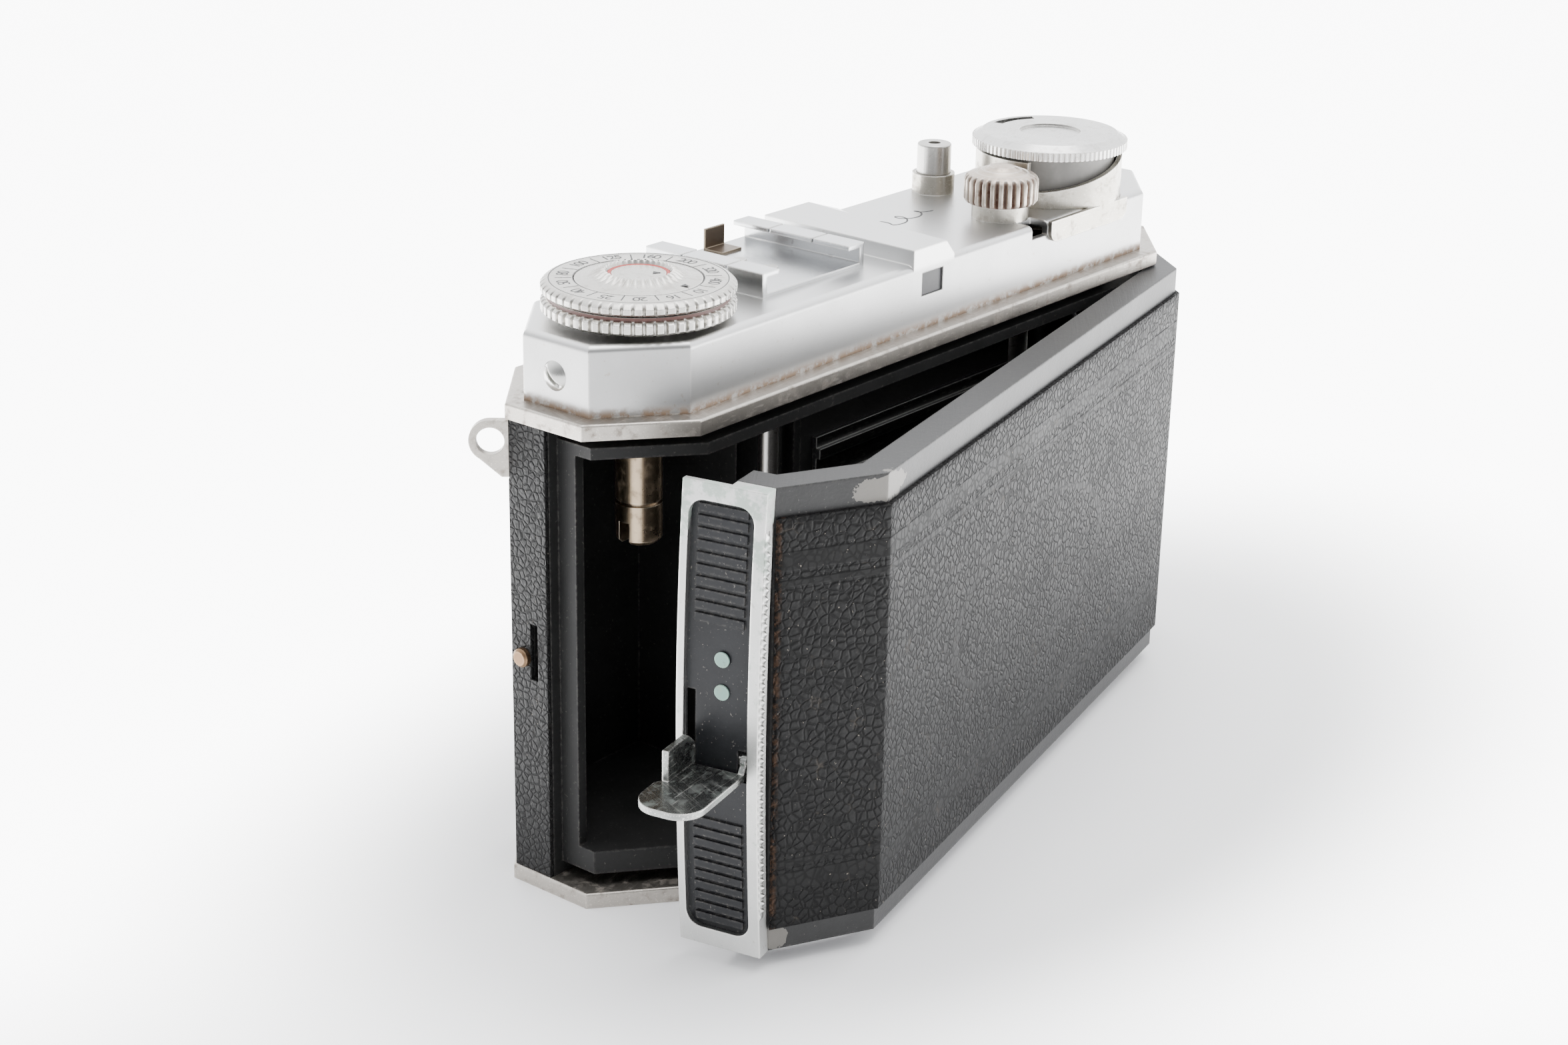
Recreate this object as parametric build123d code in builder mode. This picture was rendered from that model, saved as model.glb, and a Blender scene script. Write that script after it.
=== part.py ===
"""Folding 35 mm viewfinder camera: every piece as its own closed solid.

Millimetres, +Z up. The lens side faces -Y, the hinged back faces +Y, the rewind end is
at +X and the winding end at -X. The camera stands on its base plate at Z = 0. Pieces of
the back are drawn shut and then swung to the angle the back stands open at.
"""

import os
from math import cos, hypot, radians, sin

from build123d import *

os.makedirs("parts", exist_ok=True)

# ---- body outline ---------------------------------------------------------------
PLATE_HALF_X = 61.0  # trim plates above and below the leather
PLATE_HALF_Y = 15.1
CUT_X = 10.8  # corner cuts of the eight-sided outline
CUT_Y = 8.9
PLATE_T = 2.0
BODY_TOP = 61.4
WALL_INSET = 0.9  # body wall behind the trim plates' edge
LEATHER_T = 0.6
EDGE_GAP = 0.3  # play between the back and what it shuts against
EDGE_FILLET = 0.3

COVER_BASE = BODY_TOP + PLATE_T
COVER_HALF_X = 58.7
COVER_HALF_Y = 12.75
COVER_CUT_X = 9.4
COVER_CUT_Y = 7.5
DECK_RISE = 8.8
DECK_Z = COVER_BASE + DECK_RISE
COVER_WALL = 1.0
COVER_FILLET = 0.9

RIDGE_RISE = 2.1
RIDGE_Z = DECK_Z + RIDGE_RISE  # raised finder housing across the deck
RIDGE_REAR = (5.8, -1.2, -3.1)  # step, top edge, foot of the slope
RIDGE_FRONT = (4.9, -4.5, -10.9)

# ---- inside ---------------------------------------------------------------------
FLOOR_Z = 6.7
CEILING_DROP = 3.1
CEILING_Z = BODY_TOP - CEILING_DROP
MID_Z = (FLOOR_Z + CEILING_Z) / 2
SEAT_X = 58.6  # rear band that the back closes over
SEAT_Y = 14.3
SEAT_WALL = 1.4
SEAT_LOW = 3.6
SEAT_DROP = 1.6
SEAT_HIGH = BODY_TOP - SEAT_DROP
WEB_X = 54.8  # full-height core clear of the back's rim
WEB_Y = 10.7
JAMB_Y = 2.9
CHAMBER_X = 31.5  # inner end of the film chamber
SPOOL_ROOM_X = 29.0
CORE_X = (-22.5, 24.0)  # flat joints between the body's three sections
CHAMBER_FRONT = -11.5
LENS_BAY_X = 20.5
LENS_BAY_LOW = 8.0
LENS_BAY_DROP = 1.3
LENS_BAY_HIGH = CEILING_Z - LENS_BAY_DROP
BAY_REAR = 7.6
GATE_WALL_T = 1.6
GATE_W = 36.0
GATE_H = 24.0
GATE_MARGIN = 0.5
FRONT_Y = -(PLATE_HALF_Y - WALL_INSET)

# ---- back -----------------------------------------------------------------------
BACK_X = 59.9
BACK_Y = 15.7
BACK_T = 0.9
BACK_LOW = PLATE_T + EDGE_GAP
BACK_HIGH = BODY_TOP - EDGE_GAP
BACK_RIM = 4.0  # width of the folded edge along top and bottom
BACK_FRONT_Y = 2.0  # how far the latch end wraps forward
BACK_LEATHER_LOW = 5.4
BACK_LEATHER_DROP = 3.6
BACK_LEATHER_HIGH = BACK_HIGH - BACK_LEATHER_DROP
HINGE_X = -60.9
HINGE_Y = 6.9
KNUCKLE_R = 1.3
HINGE_PIN_R = 0.6
RUN = 0.05  # running clearance of pins and shafts
BACK_AJAR = 12.1  # how far the back stands open
HINGE_TRIM_X = 57.4
KNUCKLE_DROP = 2.3
KNUCKLE_TOPS = ((4.2, 10.0), (24.0, 40.0), (53.0, BACK_HIGH - KNUCKLE_DROP))
BODY_KNUCKLES = ((10.3, 23.7), (40.3, 52.7))

# ---- latch ----------------------------------------------------------------------
LATCH_FRONT_Y = -3.8
LATCH_REAR_Y = 6.9
LATCH_END_X = 62.0
LATCH_MID_X = 63.4
LATCH_SHEET = 0.8
LATCH_FRAME_TOP = 2.1
LATCH_OPENING = (-2.9, 5.5, 4.6, BACK_HIGH - LATCH_FRAME_TOP)
LATCH_CORNER = 2.0
INSET_T = 0.35
INSET_LAP = 0.5
RIB_H = 0.3
RIB_W = 1.0
RIB_PITCH = 1.45
RIB_STARTS = (5.4, 44.4)
RIB_COUNT = 10
RIVET_R = 0.95
RIVET_H = 0.2
RIVET_ZS = (36.1, 40.2)
RIVET_Y = 1.8
LEVER_PIVOT_X = 61.7
LEVER_PIVOT_Z = 27.6
LEVER_FRONT_Y = -2.7
LEVER_REAR_Y = 4.9
LEVER_FLARE = 0.6
LEVER_T = 0.8
LEVER_DROP = 1.2  # pivot above the lever's upper face
LEVER_ROOT_X = 62.9
LEVER_TIP_X = 75.4
LEVER_FLANGE_X = 68.6
LEVER_FLANGE_UP = 2.6
LEVER_EAR_R = 0.8
LEVER_PIN_R = 0.5
SLOT_PLAY = 0.2
STUD_Y = -4.1
STUD_Z = 31.1
STUD_R = 1.2
STUD_OUT = 0.9

# ---- rewind group ---------------------------------------------------------------
REWIND_X = 45.6
REWIND_Y = 1.3
REWIND_GAP = 0.7
KNOB_R = 11.75
KNOB_T = 1.9
KNOB_GROOVE_R = 11.0
KNOB_GROOVE_T = 0.5
DIAL_T = 1.7
DIAL_INNER_R = 7.7
HUB_TOP_R = 4.2
HUB_RISE = 0.9
HUB_CAP_R = 3.7
KNURLS = 64
KNURL_R = 0.32
SHAFT_R = 2.9
SHAFT_NECK_DROP = 9.6
SHAFT_NECK_Z = CEILING_Z - SHAFT_NECK_DROP
SHAFT_NECK_T = 0.4
FORK_LENGTH = 5.1
FORK_LOW = SHAFT_NECK_Z - FORK_LENGTH
FORK_SLOT = 1.6
WASHER_R = 4.4

# ---- winding group --------------------------------------------------------------
WIND_X = -38.8
WIND_Y = 3.2
GUARD_R = 10.3
GUARD_T = 0.7
GUARD_RISE = 6.3
GUARD_TOP = DECK_Z + GUARD_RISE
GUARD_SUNK = 3.0
GUARD_LOW = DECK_Z - GUARD_SUNK
DRUM_PLAY = 0.4
DRUM_R = GUARD_R - GUARD_T - DRUM_PLAY
WIND_DISC_R = 10.9
WIND_DISC_GAP = 0.5
WIND_DISC_Z = GUARD_TOP + WIND_DISC_GAP
WIND_DISC_T = 1.2
WIND_BEVEL = 0.8
WIND_TOP_R = 9.5
WIND_KNURLS = 90
WIND_KNURL_R = 0.2
WIND_SHAFT_R = 2.2
SPOOL_R = 5.2
SPOOL_FLANGE_R = 9.2
SPOOL_FLANGE_T = 1.0
COUNTER_R = 9.0
COUNTER_T = 0.5

# ---- small controls -------------------------------------------------------------
BUTTON_X = -27.8
BUTTON_Y = -8.8
BUTTON_R = 2.4
BUTTON_RISE = 7.0
BUTTON_TOP = DECK_Z + BUTTON_RISE
BUTTON_SUNK = 6.0
BUTTON_LOW = DECK_Z - BUTTON_SUNK
COLLAR_R = 3.0
COLLAR_H = 2.8
TURN_X = -22.5
TURN_Y = 6.4
TURN_R = 5.1
TURN_BASE_R = 3.9
TURN_BASE_RISE = 2.1
TURN_BASE_TOP = DECK_Z + TURN_BASE_RISE
TURN_H = 3.9
TURN_TOP = TURN_BASE_TOP + TURN_H
TURN_STEM_R = 1.6
TURN_DOME = 1.3
TURN_FLUTES = 34
TURN_FLUTE_R = 0.33

# ---- accessory shoe -------------------------------------------------------------
SHOE_CENTRE_X = 20.1
SHOE_SLOT_W = 18.6
SHOE_WALL = 0.8
SHOE_FRONT = -11.3
SHOE_REAR = 7.8
SHOE_SLOT_H = 2.0
SHOE_LIP = 3.1
SHOE_T = 0.6
SLIT_W = 0.35
SLIT_Y = 3.6

# ---- front ----------------------------------------------------------------------
BED_HINGE_X = -26.5
BED_HINGE_Y = -15.7
BED_T = 1.2
BED_FREE_X = 25.0
BED_LOW = 9.0
BED_DROP = 5.4
BED_HIGH = BODY_TOP - BED_DROP
BED_KNUCKLE_R = 1.1
BED_PIN_R = 0.5
BED_ROOT = 0.6
HOUSING_R = 18.5
HOUSING_FRONT = -9.7
HOUSING_REAR = -1.8
STANDARD_T = 1.2
STANDARD_HALF_X = 19.0
STANDARD_HALF_Z = 20.5
SPEED_RING_R = 16.5
SPEED_RING_T = 1.6
FOCUS_R = 13.5
FOCUS_FRONT = -13.4
LENS_R = 8.0
TUBE_R = 9.0


def octagon(half_x, half_y, cut_x, cut_y):
    """Corners of an eight-sided outline, anticlockwise from the lower right."""
    x, y = half_x - cut_x, half_y - cut_y
    quarter = [(half_x, y), (x, half_y)]
    left = [(-px, py) for px, py in reversed(quarter)]
    top = quarter + left
    return [(px, -py) for px, py in reversed(top)] + top


def box_corners(x0, x1, y0, y1):
    """Corners of a rectangle between two X and two Y values."""
    return [(x0, y0), (x1, y0), (x1, y1), (x0, y1)]


def face(points, plane=Plane.XY, shift=0.0, corner=0.0):
    """A flat face with the given corners, grown by shift and rounded by corner."""
    with BuildSketch(plane, mode=Mode.PRIVATE) as drawn:
        with BuildLine():
            Polyline(*points, close=True)
        make_face()
        if shift:
            offset(amount=shift, kind=Kind.INTERSECTION)
        if corner:
            fillet(drawn.vertices(), radius=corner)
    return drawn.sketch


def disc(x, y, radius, plane=Plane.XY, hole=0.0):
    """A round face, with a concentric hole if one is given."""
    with BuildSketch(plane, mode=Mode.PRIVATE) as drawn:
        with Locations((x, y)):
            Circle(radius)
            if hole:
                Circle(hole, mode=Mode.SUBTRACT)
    return drawn.sketch


def level(z):
    """The level plane at height z."""
    return Plane.XY.offset(z)


def lensward(y):
    """An upright plane at y that faces the lens side; its axes are X and Z."""
    return Plane.XZ.offset(-y)


def endward(x):
    """An upright plane at x that faces the rewind end; its axes are Y and Z."""
    return Plane.YZ.offset(x)


PLATE = octagon(PLATE_HALF_X, PLATE_HALF_Y, CUT_X, CUT_Y)
COVER = octagon(COVER_HALF_X, COVER_HALF_Y, COVER_CUT_X, COVER_CUT_Y)
BACK = octagon(BACK_X, BACK_Y, CUT_X, CUT_Y)
SEAT = octagon(SEAT_X, SEAT_Y, CUT_X, CUT_Y)
WEB = octagon(WEB_X, WEB_Y, CUT_X, CUT_Y)
FAR = 2 * PLATE_HALF_X
BACK_HINGE = Axis((HINGE_X, HINGE_Y, 0), (0, 0, 1))


def swung(solid):
    """A piece of the back, moved from shut to where it stands open."""
    return solid.rotate(BACK_HINGE, BACK_AJAR)


def hand_in(solid, name):
    """Name a finished piece and write it out."""
    solid.label = name
    export_step(solid, f"parts/{name}.step")


# ---- body shell -----------------------------------------------------------------
STUD_POCKET = (-2.88, -1.7, 28.4, 35.8)
STUD_POCKET_X = 58.2
TRIPOD_R = 2.6
TRIPOD_DEPTH = 5.5
BUSH_R = 5.0
BUSH_T = 6.5
ROLLER_X = 29.2
ROLLER_Y = 8.3
SPROCKET_X = -26.4
SPROCKET_Y = 6.1
SPROCKET_R = 4.54
SPROCKET_ROOM = 0.8
ROLLER_ROOM_R = 4.0
END_TAB = 1.6
BED_KNUCKLES = ((12.0, 16.7), (48.3, 53.0))
BODY_BED_KNUCKLES = ((17.1, 22.0), (43.0, 47.9))
RELEASE_X = 28.4
RELEASE_Z = 24.0
RELEASE_R = 1.8
RELEASE_BORE = 2.2

with BuildPart() as body_shell:
    extrude(face(SEAT, level(SEAT_LOW)), amount=SEAT_HIGH - SEAT_LOW)
    extrude(face(WEB, level(PLATE_T)), amount=BODY_TOP - PLATE_T)
    extrude(face(box_corners(-FAR, FAR, -FAR, 0)), amount=DECK_Z, mode=Mode.SUBTRACT)
    extrude(
        face(PLATE, level(PLATE_T), -WALL_INSET)
        - face(box_corners(-FAR, FAR, 0, FAR), level(PLATE_T)),
        amount=BODY_TOP - PLATE_T,
    )
    for chamber in (
        box_corners(CHAMBER_X, SEAT_X - SEAT_WALL, CHAMBER_FRONT, FAR),
        box_corners(SEAT_WALL - SEAT_X, -SPOOL_ROOM_X, CHAMBER_FRONT, FAR),
        box_corners(-CHAMBER_X, CHAMBER_X, BAY_REAR + GATE_WALL_T, FAR),
        box_corners(CHAMBER_X, FAR, JAMB_Y, FAR),
    ):
        extrude(
            face(chamber, level(FLOOR_Z)),
            amount=CEILING_Z - FLOOR_Z,
            mode=Mode.SUBTRACT,
        )
    extrude(
        face(
            box_corners(-LENS_BAY_X, LENS_BAY_X, LENS_BAY_LOW, LENS_BAY_HIGH),
            lensward(BAY_REAR),
        ),
        amount=FAR,
        mode=Mode.SUBTRACT,
    )
    with BuildSketch(lensward(SEAT_Y)):
        with Locations((0, MID_Z)):
            Rectangle(GATE_W + 2 * GATE_MARGIN, GATE_H + 2 * GATE_MARGIN)
    extrude(amount=FAR, mode=Mode.SUBTRACT)
    extrude(
        disc(ROLLER_X, ROLLER_Y, ROLLER_ROOM_R, level(FLOOR_Z)),
        amount=CEILING_Z - FLOOR_Z,
        mode=Mode.SUBTRACT,
    )
    extrude(
        disc(SPROCKET_X, SPROCKET_Y, SPROCKET_R + SPROCKET_ROOM, level(FLOOR_Z)),
        amount=CEILING_Z - FLOOR_Z,
        mode=Mode.SUBTRACT,
    )
    extrude(
        face(box_corners(*STUD_POCKET), endward(STUD_POCKET_X)),
        amount=FAR,
        mode=Mode.SUBTRACT,
    )
    for shaft_x, shaft_y, shaft_r in (
        (REWIND_X, REWIND_Y, SHAFT_R + RUN),
        (WIND_X, WIND_Y, WIND_SHAFT_R + RUN),
    ):
        extrude(
            disc(shaft_x, shaft_y, shaft_r, level(CEILING_Z)),
            amount=FAR,
            mode=Mode.SUBTRACT,
        )
    extrude(disc(0, 0, BUSH_R, level(0)), amount=BUSH_T, mode=Mode.SUBTRACT)
    for low, high in BODY_KNUCKLES:
        extrude(disc(HINGE_X, HINGE_Y, KNUCKLE_R, level(low)), amount=high - low)
        extrude(
            face(
                box_corners(HINGE_X, END_TAB - SEAT_X, HINGE_Y - 2 * END_TAB, HINGE_Y),
                level(low),
            ),
            amount=high - low,
        )
    extrude(
        disc(HINGE_X, HINGE_Y, HINGE_PIN_R + RUN, level(0)),
        amount=BODY_TOP,
        mode=Mode.SUBTRACT,
    )
    for low, high in BODY_BED_KNUCKLES:
        extrude(
            disc(BED_HINGE_X, BED_HINGE_Y, BED_KNUCKLE_R, level(low)),
            amount=high - low,
        )
        extrude(
            face(
                box_corners(
                    BED_HINGE_X - BED_KNUCKLE_R, BED_HINGE_X, BED_HINGE_Y, FRONT_Y
                ),
                level(low),
            ),
            amount=high - low,
        )
    extrude(
        disc(BED_HINGE_X, BED_HINGE_Y, BED_PIN_R + RUN, level(BED_LOW)),
        amount=BED_HIGH - BED_LOW,
        mode=Mode.SUBTRACT,
    )
    extrude(
        disc(RELEASE_X, RELEASE_Z, RELEASE_R + RUN, lensward(FRONT_Y + RELEASE_BORE)),
        amount=FAR,
        mode=Mode.SUBTRACT,
    )
    extrude(
        disc(STUD_Y, STUD_Z, STUD_R, endward(SEAT_X)),
        amount=FAR,
        mode=Mode.SUBTRACT,
    )
for name, near_x, far_x in (
    ("body_shell", CORE_X[0], CORE_X[1]),
    ("rewind_housing", CORE_X[1], FAR),
    ("spool_housing", -FAR, CORE_X[0]),
):
    with BuildPart() as section:
        add(body_shell.part)
        extrude(
            face(box_corners(near_x, far_x, -FAR, FAR), level(-FAR)),
            amount=2 * FAR,
            mode=Mode.INTERSECT,
        )
    hand_in(section.part, name)

# ---- trim plates and tripod bush ------------------------------------------------
with BuildPart() as base_plate:
    extrude(face(PLATE, level(0)), amount=PLATE_T)
    fillet(base_plate.faces().sort_by(Axis.Z)[-1].edges(), EDGE_FILLET)
    extrude(disc(0, 0, BUSH_R), amount=PLATE_T, mode=Mode.SUBTRACT)
hand_in(base_plate.part, "base_plate")

with BuildPart() as upper_plate:
    extrude(face(PLATE, level(BODY_TOP)), amount=PLATE_T)
    fillet(upper_plate.faces().sort_by(Axis.Z)[-1].edges(), EDGE_FILLET)
    for shaft_x, shaft_y, shaft_r in (
        (REWIND_X, REWIND_Y, SHAFT_R + RUN),
        (WIND_X, WIND_Y, WIND_SHAFT_R + RUN),
    ):
        extrude(
            disc(shaft_x, shaft_y, shaft_r, level(BODY_TOP)),
            amount=PLATE_T,
            mode=Mode.SUBTRACT,
        )
hand_in(upper_plate.part, "upper_plate")

with BuildPart() as tripod_bush:
    extrude(disc(0, 0, BUSH_R), amount=BUSH_T)
    extrude(disc(0, 0, TRIPOD_R), amount=TRIPOD_DEPTH, mode=Mode.SUBTRACT)
hand_in(tripod_bush.part, "tripod_bush")

# ---- body leather ---------------------------------------------------------------
LEATHER_REAR_Y = -0.1
LEATHER_FRONT_X = 31.0
LUG_T = 1.1
LUG_CUT = 1.2
LUG_X = PLATE_HALF_X - WALL_INSET
LUG_Y = -(PLATE_HALF_Y - CUT_Y)
LUG_EYE_OUT = 2.4
LUG_EYE_DROP = 2.9
LUG_EYE_Z = BODY_TOP - LUG_EYE_DROP
LUG_EYE_R = 2.6
LUG_HOLE_R = 1.7
LUG_ROOT_H = 4.5
LUG_LOW_Z = LUG_EYE_Z - LUG_ROOT_H
LUG_IN = 1.4
CUT_LENGTH = hypot(CUT_X, CUT_Y)


def lug_plane(side):
    """Upright plane square to the front corner cut; its axes run outward and up."""
    outward = Vector(side * CUT_Y / CUT_LENGTH, -CUT_X / CUT_LENGTH, 0)
    across = outward.cross(Vector(0, 0, 1))
    return Plane(origin=(side * LUG_X, LUG_Y, 0), x_dir=outward, z_dir=across)


def lug_outline(side, grow=0.0):
    """The lug's side view: an eye on a tapered root."""
    with BuildSketch(lug_plane(side), mode=Mode.PRIVATE) as drawn:
        with Locations((LUG_EYE_OUT, LUG_EYE_Z)):
            Circle(LUG_EYE_R + grow)
        with BuildLine():
            Polyline(
                (-LUG_IN, LUG_LOW_Z - grow),
                (LUG_T, LUG_LOW_Z - grow),
                (LUG_EYE_OUT + LUG_EYE_R / 2, LUG_EYE_Z - LUG_EYE_R * cos(radians(30)) - grow),
                (LUG_EYE_OUT, LUG_EYE_Z + LUG_EYE_R + grow),
                (-LUG_IN, LUG_EYE_Z + LUG_EYE_R + grow),
                close=True,
            )
        make_face()
    return drawn.sketch


for side, name in ((1, "rewind_end_leather"), (-1, "winding_end_leather")):
    near = min(side * LEATHER_FRONT_X, side * FAR)
    with BuildPart() as end_leather:
        extrude(
            face(PLATE, level(PLATE_T), LEATHER_T - WALL_INSET),
            amount=BODY_TOP - PLATE_T,
        )
        extrude(
            face(PLATE, level(0), -WALL_INSET),
            amount=DECK_Z,
            mode=Mode.SUBTRACT,
        )
        extrude(
            face(box_corners(near, near + FAR - LEATHER_FRONT_X, -FAR, LEATHER_REAR_Y)),
            amount=DECK_Z,
            mode=Mode.INTERSECT,
        )
        extrude(
            lug_outline(side, EDGE_GAP),
            amount=LUG_CUT / 2,
            both=True,
            mode=Mode.SUBTRACT,
        )
        if side > 0:
            extrude(
                face(box_corners(*STUD_POCKET), endward(STUD_POCKET_X)),
                amount=FAR,
                mode=Mode.SUBTRACT,
            )
            extrude(
                disc(STUD_Y, STUD_Z, STUD_R, endward(SEAT_X)),
                amount=FAR,
                mode=Mode.SUBTRACT,
            )
    hand_in(end_leather.part, name)

with BuildPart() as strap_lugs:
    for side in (1, -1):
        extrude(lug_outline(side), amount=LUG_T / 2, both=True)
        with BuildSketch(lug_plane(side)):
            with Locations((LUG_EYE_OUT, LUG_EYE_Z)):
                Circle(LUG_HOLE_R)
        extrude(amount=LUG_T, both=True, mode=Mode.SUBTRACT)
    extrude(
        face(PLATE, level(0), -WALL_INSET),
        amount=BODY_TOP,
        mode=Mode.SUBTRACT,
    )
hand_in(strap_lugs.part, "strap_lugs")

with BuildPart() as catch_stud:
    extrude(
        disc(STUD_Y, STUD_Z, STUD_R, endward(SEAT_X)),
        amount=PLATE_HALF_X - WALL_INSET + LEATHER_T + STUD_OUT - SEAT_X,
    )
    chamfer(catch_stud.faces().sort_by(Axis.X)[-1].edges(), EDGE_FILLET)
hand_in(catch_stud.part, "catch_stud")

# ---- film path ------------------------------------------------------------------
GATE_PLATE_T = 0.7
GATE_PLATE_X = 21.5
GATE_PLATE_Z = 20.0
RAIL_T = 0.6
RAIL_H = 1.4
RAIL_Z = (13.4, 17.8)
GATE_Y = BAY_REAR + GATE_WALL_T
ROLLER_R = 1.25
AXLE_R = 0.5
END_PLAY = 0.3

with BuildPart() as film_gate:
    with BuildSketch(lensward(GATE_Y + GATE_PLATE_T)):
        with Locations((0, MID_Z)):
            Rectangle(2 * GATE_PLATE_X, 2 * GATE_PLATE_Z)
            Rectangle(GATE_W, GATE_H, mode=Mode.SUBTRACT)
    extrude(amount=GATE_PLATE_T)
    with BuildSketch(lensward(GATE_Y + GATE_PLATE_T + RAIL_T)):
        for offset_z in (*RAIL_Z, *(-z for z in RAIL_Z)):
            with Locations((0, MID_Z + offset_z)):
                Rectangle(2 * GATE_PLATE_X, RAIL_H)
    extrude(amount=RAIL_T)
hand_in(film_gate.part, "film_gate")

with BuildPart() as guide_roller:
    extrude(
        disc(ROLLER_X, ROLLER_Y, ROLLER_R, level(FLOOR_Z + END_PLAY), AXLE_R + RUN),
        amount=CEILING_Z - FLOOR_Z - 2 * END_PLAY,
    )
hand_in(guide_roller.part, "guide_roller")

with BuildPart() as roller_axle:
    extrude(disc(ROLLER_X, ROLLER_Y, AXLE_R, level(FLOOR_Z)), amount=CEILING_Z - FLOOR_Z)
hand_in(roller_axle.part, "roller_axle")

SPROCKET_NECK_R = 2.8
SPROCKET_BAND = 3.2
TOOTH_COUNT = 6
TOOTH_R = 0.6
TOOTH_OUT = 0.5
PERFORATION_Z = 14.1

with BuildPart() as sprocket:
    extrude(
        disc(SPROCKET_X, SPROCKET_Y, SPROCKET_NECK_R, level(FLOOR_Z + END_PLAY), AXLE_R + RUN),
        amount=CEILING_Z - FLOOR_Z - 2 * END_PLAY,
    )
    for band_z in (MID_Z - PERFORATION_Z, MID_Z + PERFORATION_Z):
        extrude(
            disc(
                SPROCKET_X,
                SPROCKET_Y,
                SPROCKET_R,
                level(band_z - SPROCKET_BAND / 2),
                AXLE_R + RUN,
            ),
            amount=SPROCKET_BAND,
        )
        for tooth in range(TOOTH_COUNT):
            turn = radians(360 * tooth / TOOTH_COUNT)
            root = Plane(
                origin=(
                    SPROCKET_X + SPROCKET_NECK_R * cos(turn),
                    SPROCKET_Y + SPROCKET_NECK_R * sin(turn),
                    band_z,
                ),
                z_dir=(cos(turn), sin(turn), 0),
            )
            extrude(
                disc(0, 0, TOOTH_R, root),
                amount=SPROCKET_R + TOOTH_OUT - SPROCKET_NECK_R,
            )
hand_in(sprocket.part, "sprocket")

with BuildPart() as sprocket_axle:
    extrude(disc(SPROCKET_X, SPROCKET_Y, AXLE_R, level(FLOOR_Z)), amount=CEILING_Z - FLOOR_Z)
hand_in(sprocket_axle.part, "sprocket_axle")

# ---- winding group --------------------------------------------------------------
DRUM_FOOT = DECK_Z + END_PLAY
with BuildPart() as take_up_spool:
    extrude(
        disc(WIND_X, WIND_Y, SPOOL_R, level(FLOOR_Z + END_PLAY)),
        amount=CEILING_Z - FLOOR_Z - 2 * END_PLAY,
    )
    for flange_z in (FLOOR_Z + END_PLAY, CEILING_Z - END_PLAY - SPOOL_FLANGE_T):
        extrude(
            disc(WIND_X, WIND_Y, SPOOL_FLANGE_R, level(flange_z)),
            amount=SPOOL_FLANGE_T,
        )
    with BuildSketch(Plane.YZ.offset(WIND_X)):
        with Locations((WIND_Y, MID_Z)):
            Rectangle(FORK_SLOT, GATE_H)
    extrude(amount=SPOOL_R, mode=Mode.SUBTRACT)
    extrude(
        disc(WIND_X, WIND_Y, WIND_SHAFT_R, level(CEILING_Z - END_PLAY)),
        amount=DRUM_FOOT - CEILING_Z + END_PLAY,
    )
hand_in(take_up_spool.part, "take_up_spool")

with BuildPart() as wind_drum:
    extrude(disc(WIND_X, WIND_Y, DRUM_R, level(DRUM_FOOT)), amount=WIND_DISC_Z - DRUM_FOOT)
hand_in(wind_drum.part, "wind_drum")

WINDOW_INNER_R = 7.4
WINDOW_OUTER_R = 8.9
WINDOW_MID = -105
WINDOW_HALF = 24
RECESS_R = 4.3
RECESS_T = 0.35


def knurled(x, y, radius, plane, count, notch):
    """A round face whose edge is notched all the way round."""
    with BuildSketch(plane, mode=Mode.PRIVATE) as drawn:
        with Locations((x, y)):
            Circle(radius)
            with PolarLocations(radius, count):
                Circle(notch, mode=Mode.SUBTRACT)
    return drawn.sketch


with BuildPart() as wind_knob:
    extrude(
        knurled(WIND_X, WIND_Y, WIND_DISC_R, level(WIND_DISC_Z), WIND_KNURLS, WIND_KNURL_R),
        amount=WIND_DISC_T,
    )
    loft(
        [
            disc(WIND_X, WIND_Y, WIND_DISC_R - WIND_KNURL_R, level(WIND_DISC_Z + WIND_DISC_T)),
            disc(WIND_X, WIND_Y, WIND_TOP_R, level(WIND_DISC_Z + WIND_DISC_T + WIND_BEVEL)),
        ]
    )
    extrude(
        disc(WIND_X, WIND_Y, COUNTER_R + END_PLAY, level(WIND_DISC_Z), WIND_SHAFT_R),
        amount=COUNTER_T + END_PLAY,
        mode=Mode.SUBTRACT,
    )
    with BuildSketch(level(WIND_DISC_Z)):
        with Locations((WIND_X, WIND_Y)):
            with BuildLine():
                outer = CenterArc(
                    (WIND_X, WIND_Y), WINDOW_OUTER_R, WINDOW_MID - WINDOW_HALF, 2 * WINDOW_HALF
                )
                inner = CenterArc(
                    (WIND_X, WIND_Y), WINDOW_INNER_R, WINDOW_MID - WINDOW_HALF, 2 * WINDOW_HALF
                )
                Line(outer @ 0, inner @ 0)
                Line(outer @ 1, inner @ 1)
            make_face()
    extrude(amount=FAR, mode=Mode.SUBTRACT)
    extrude(
        disc(WIND_X, WIND_Y, RECESS_R, level(WIND_DISC_Z + WIND_DISC_T + WIND_BEVEL - RECESS_T)),
        amount=RECESS_T,
        mode=Mode.SUBTRACT,
    )
hand_in(wind_knob.part, "wind_knob")

with BuildPart() as frame_counter:
    extrude(
        disc(WIND_X, WIND_Y, COUNTER_R, level(WIND_DISC_Z + EDGE_GAP / 2), WIND_SHAFT_R + RUN),
        amount=COUNTER_T,
    )
hand_in(frame_counter.part, "frame_counter")

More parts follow.
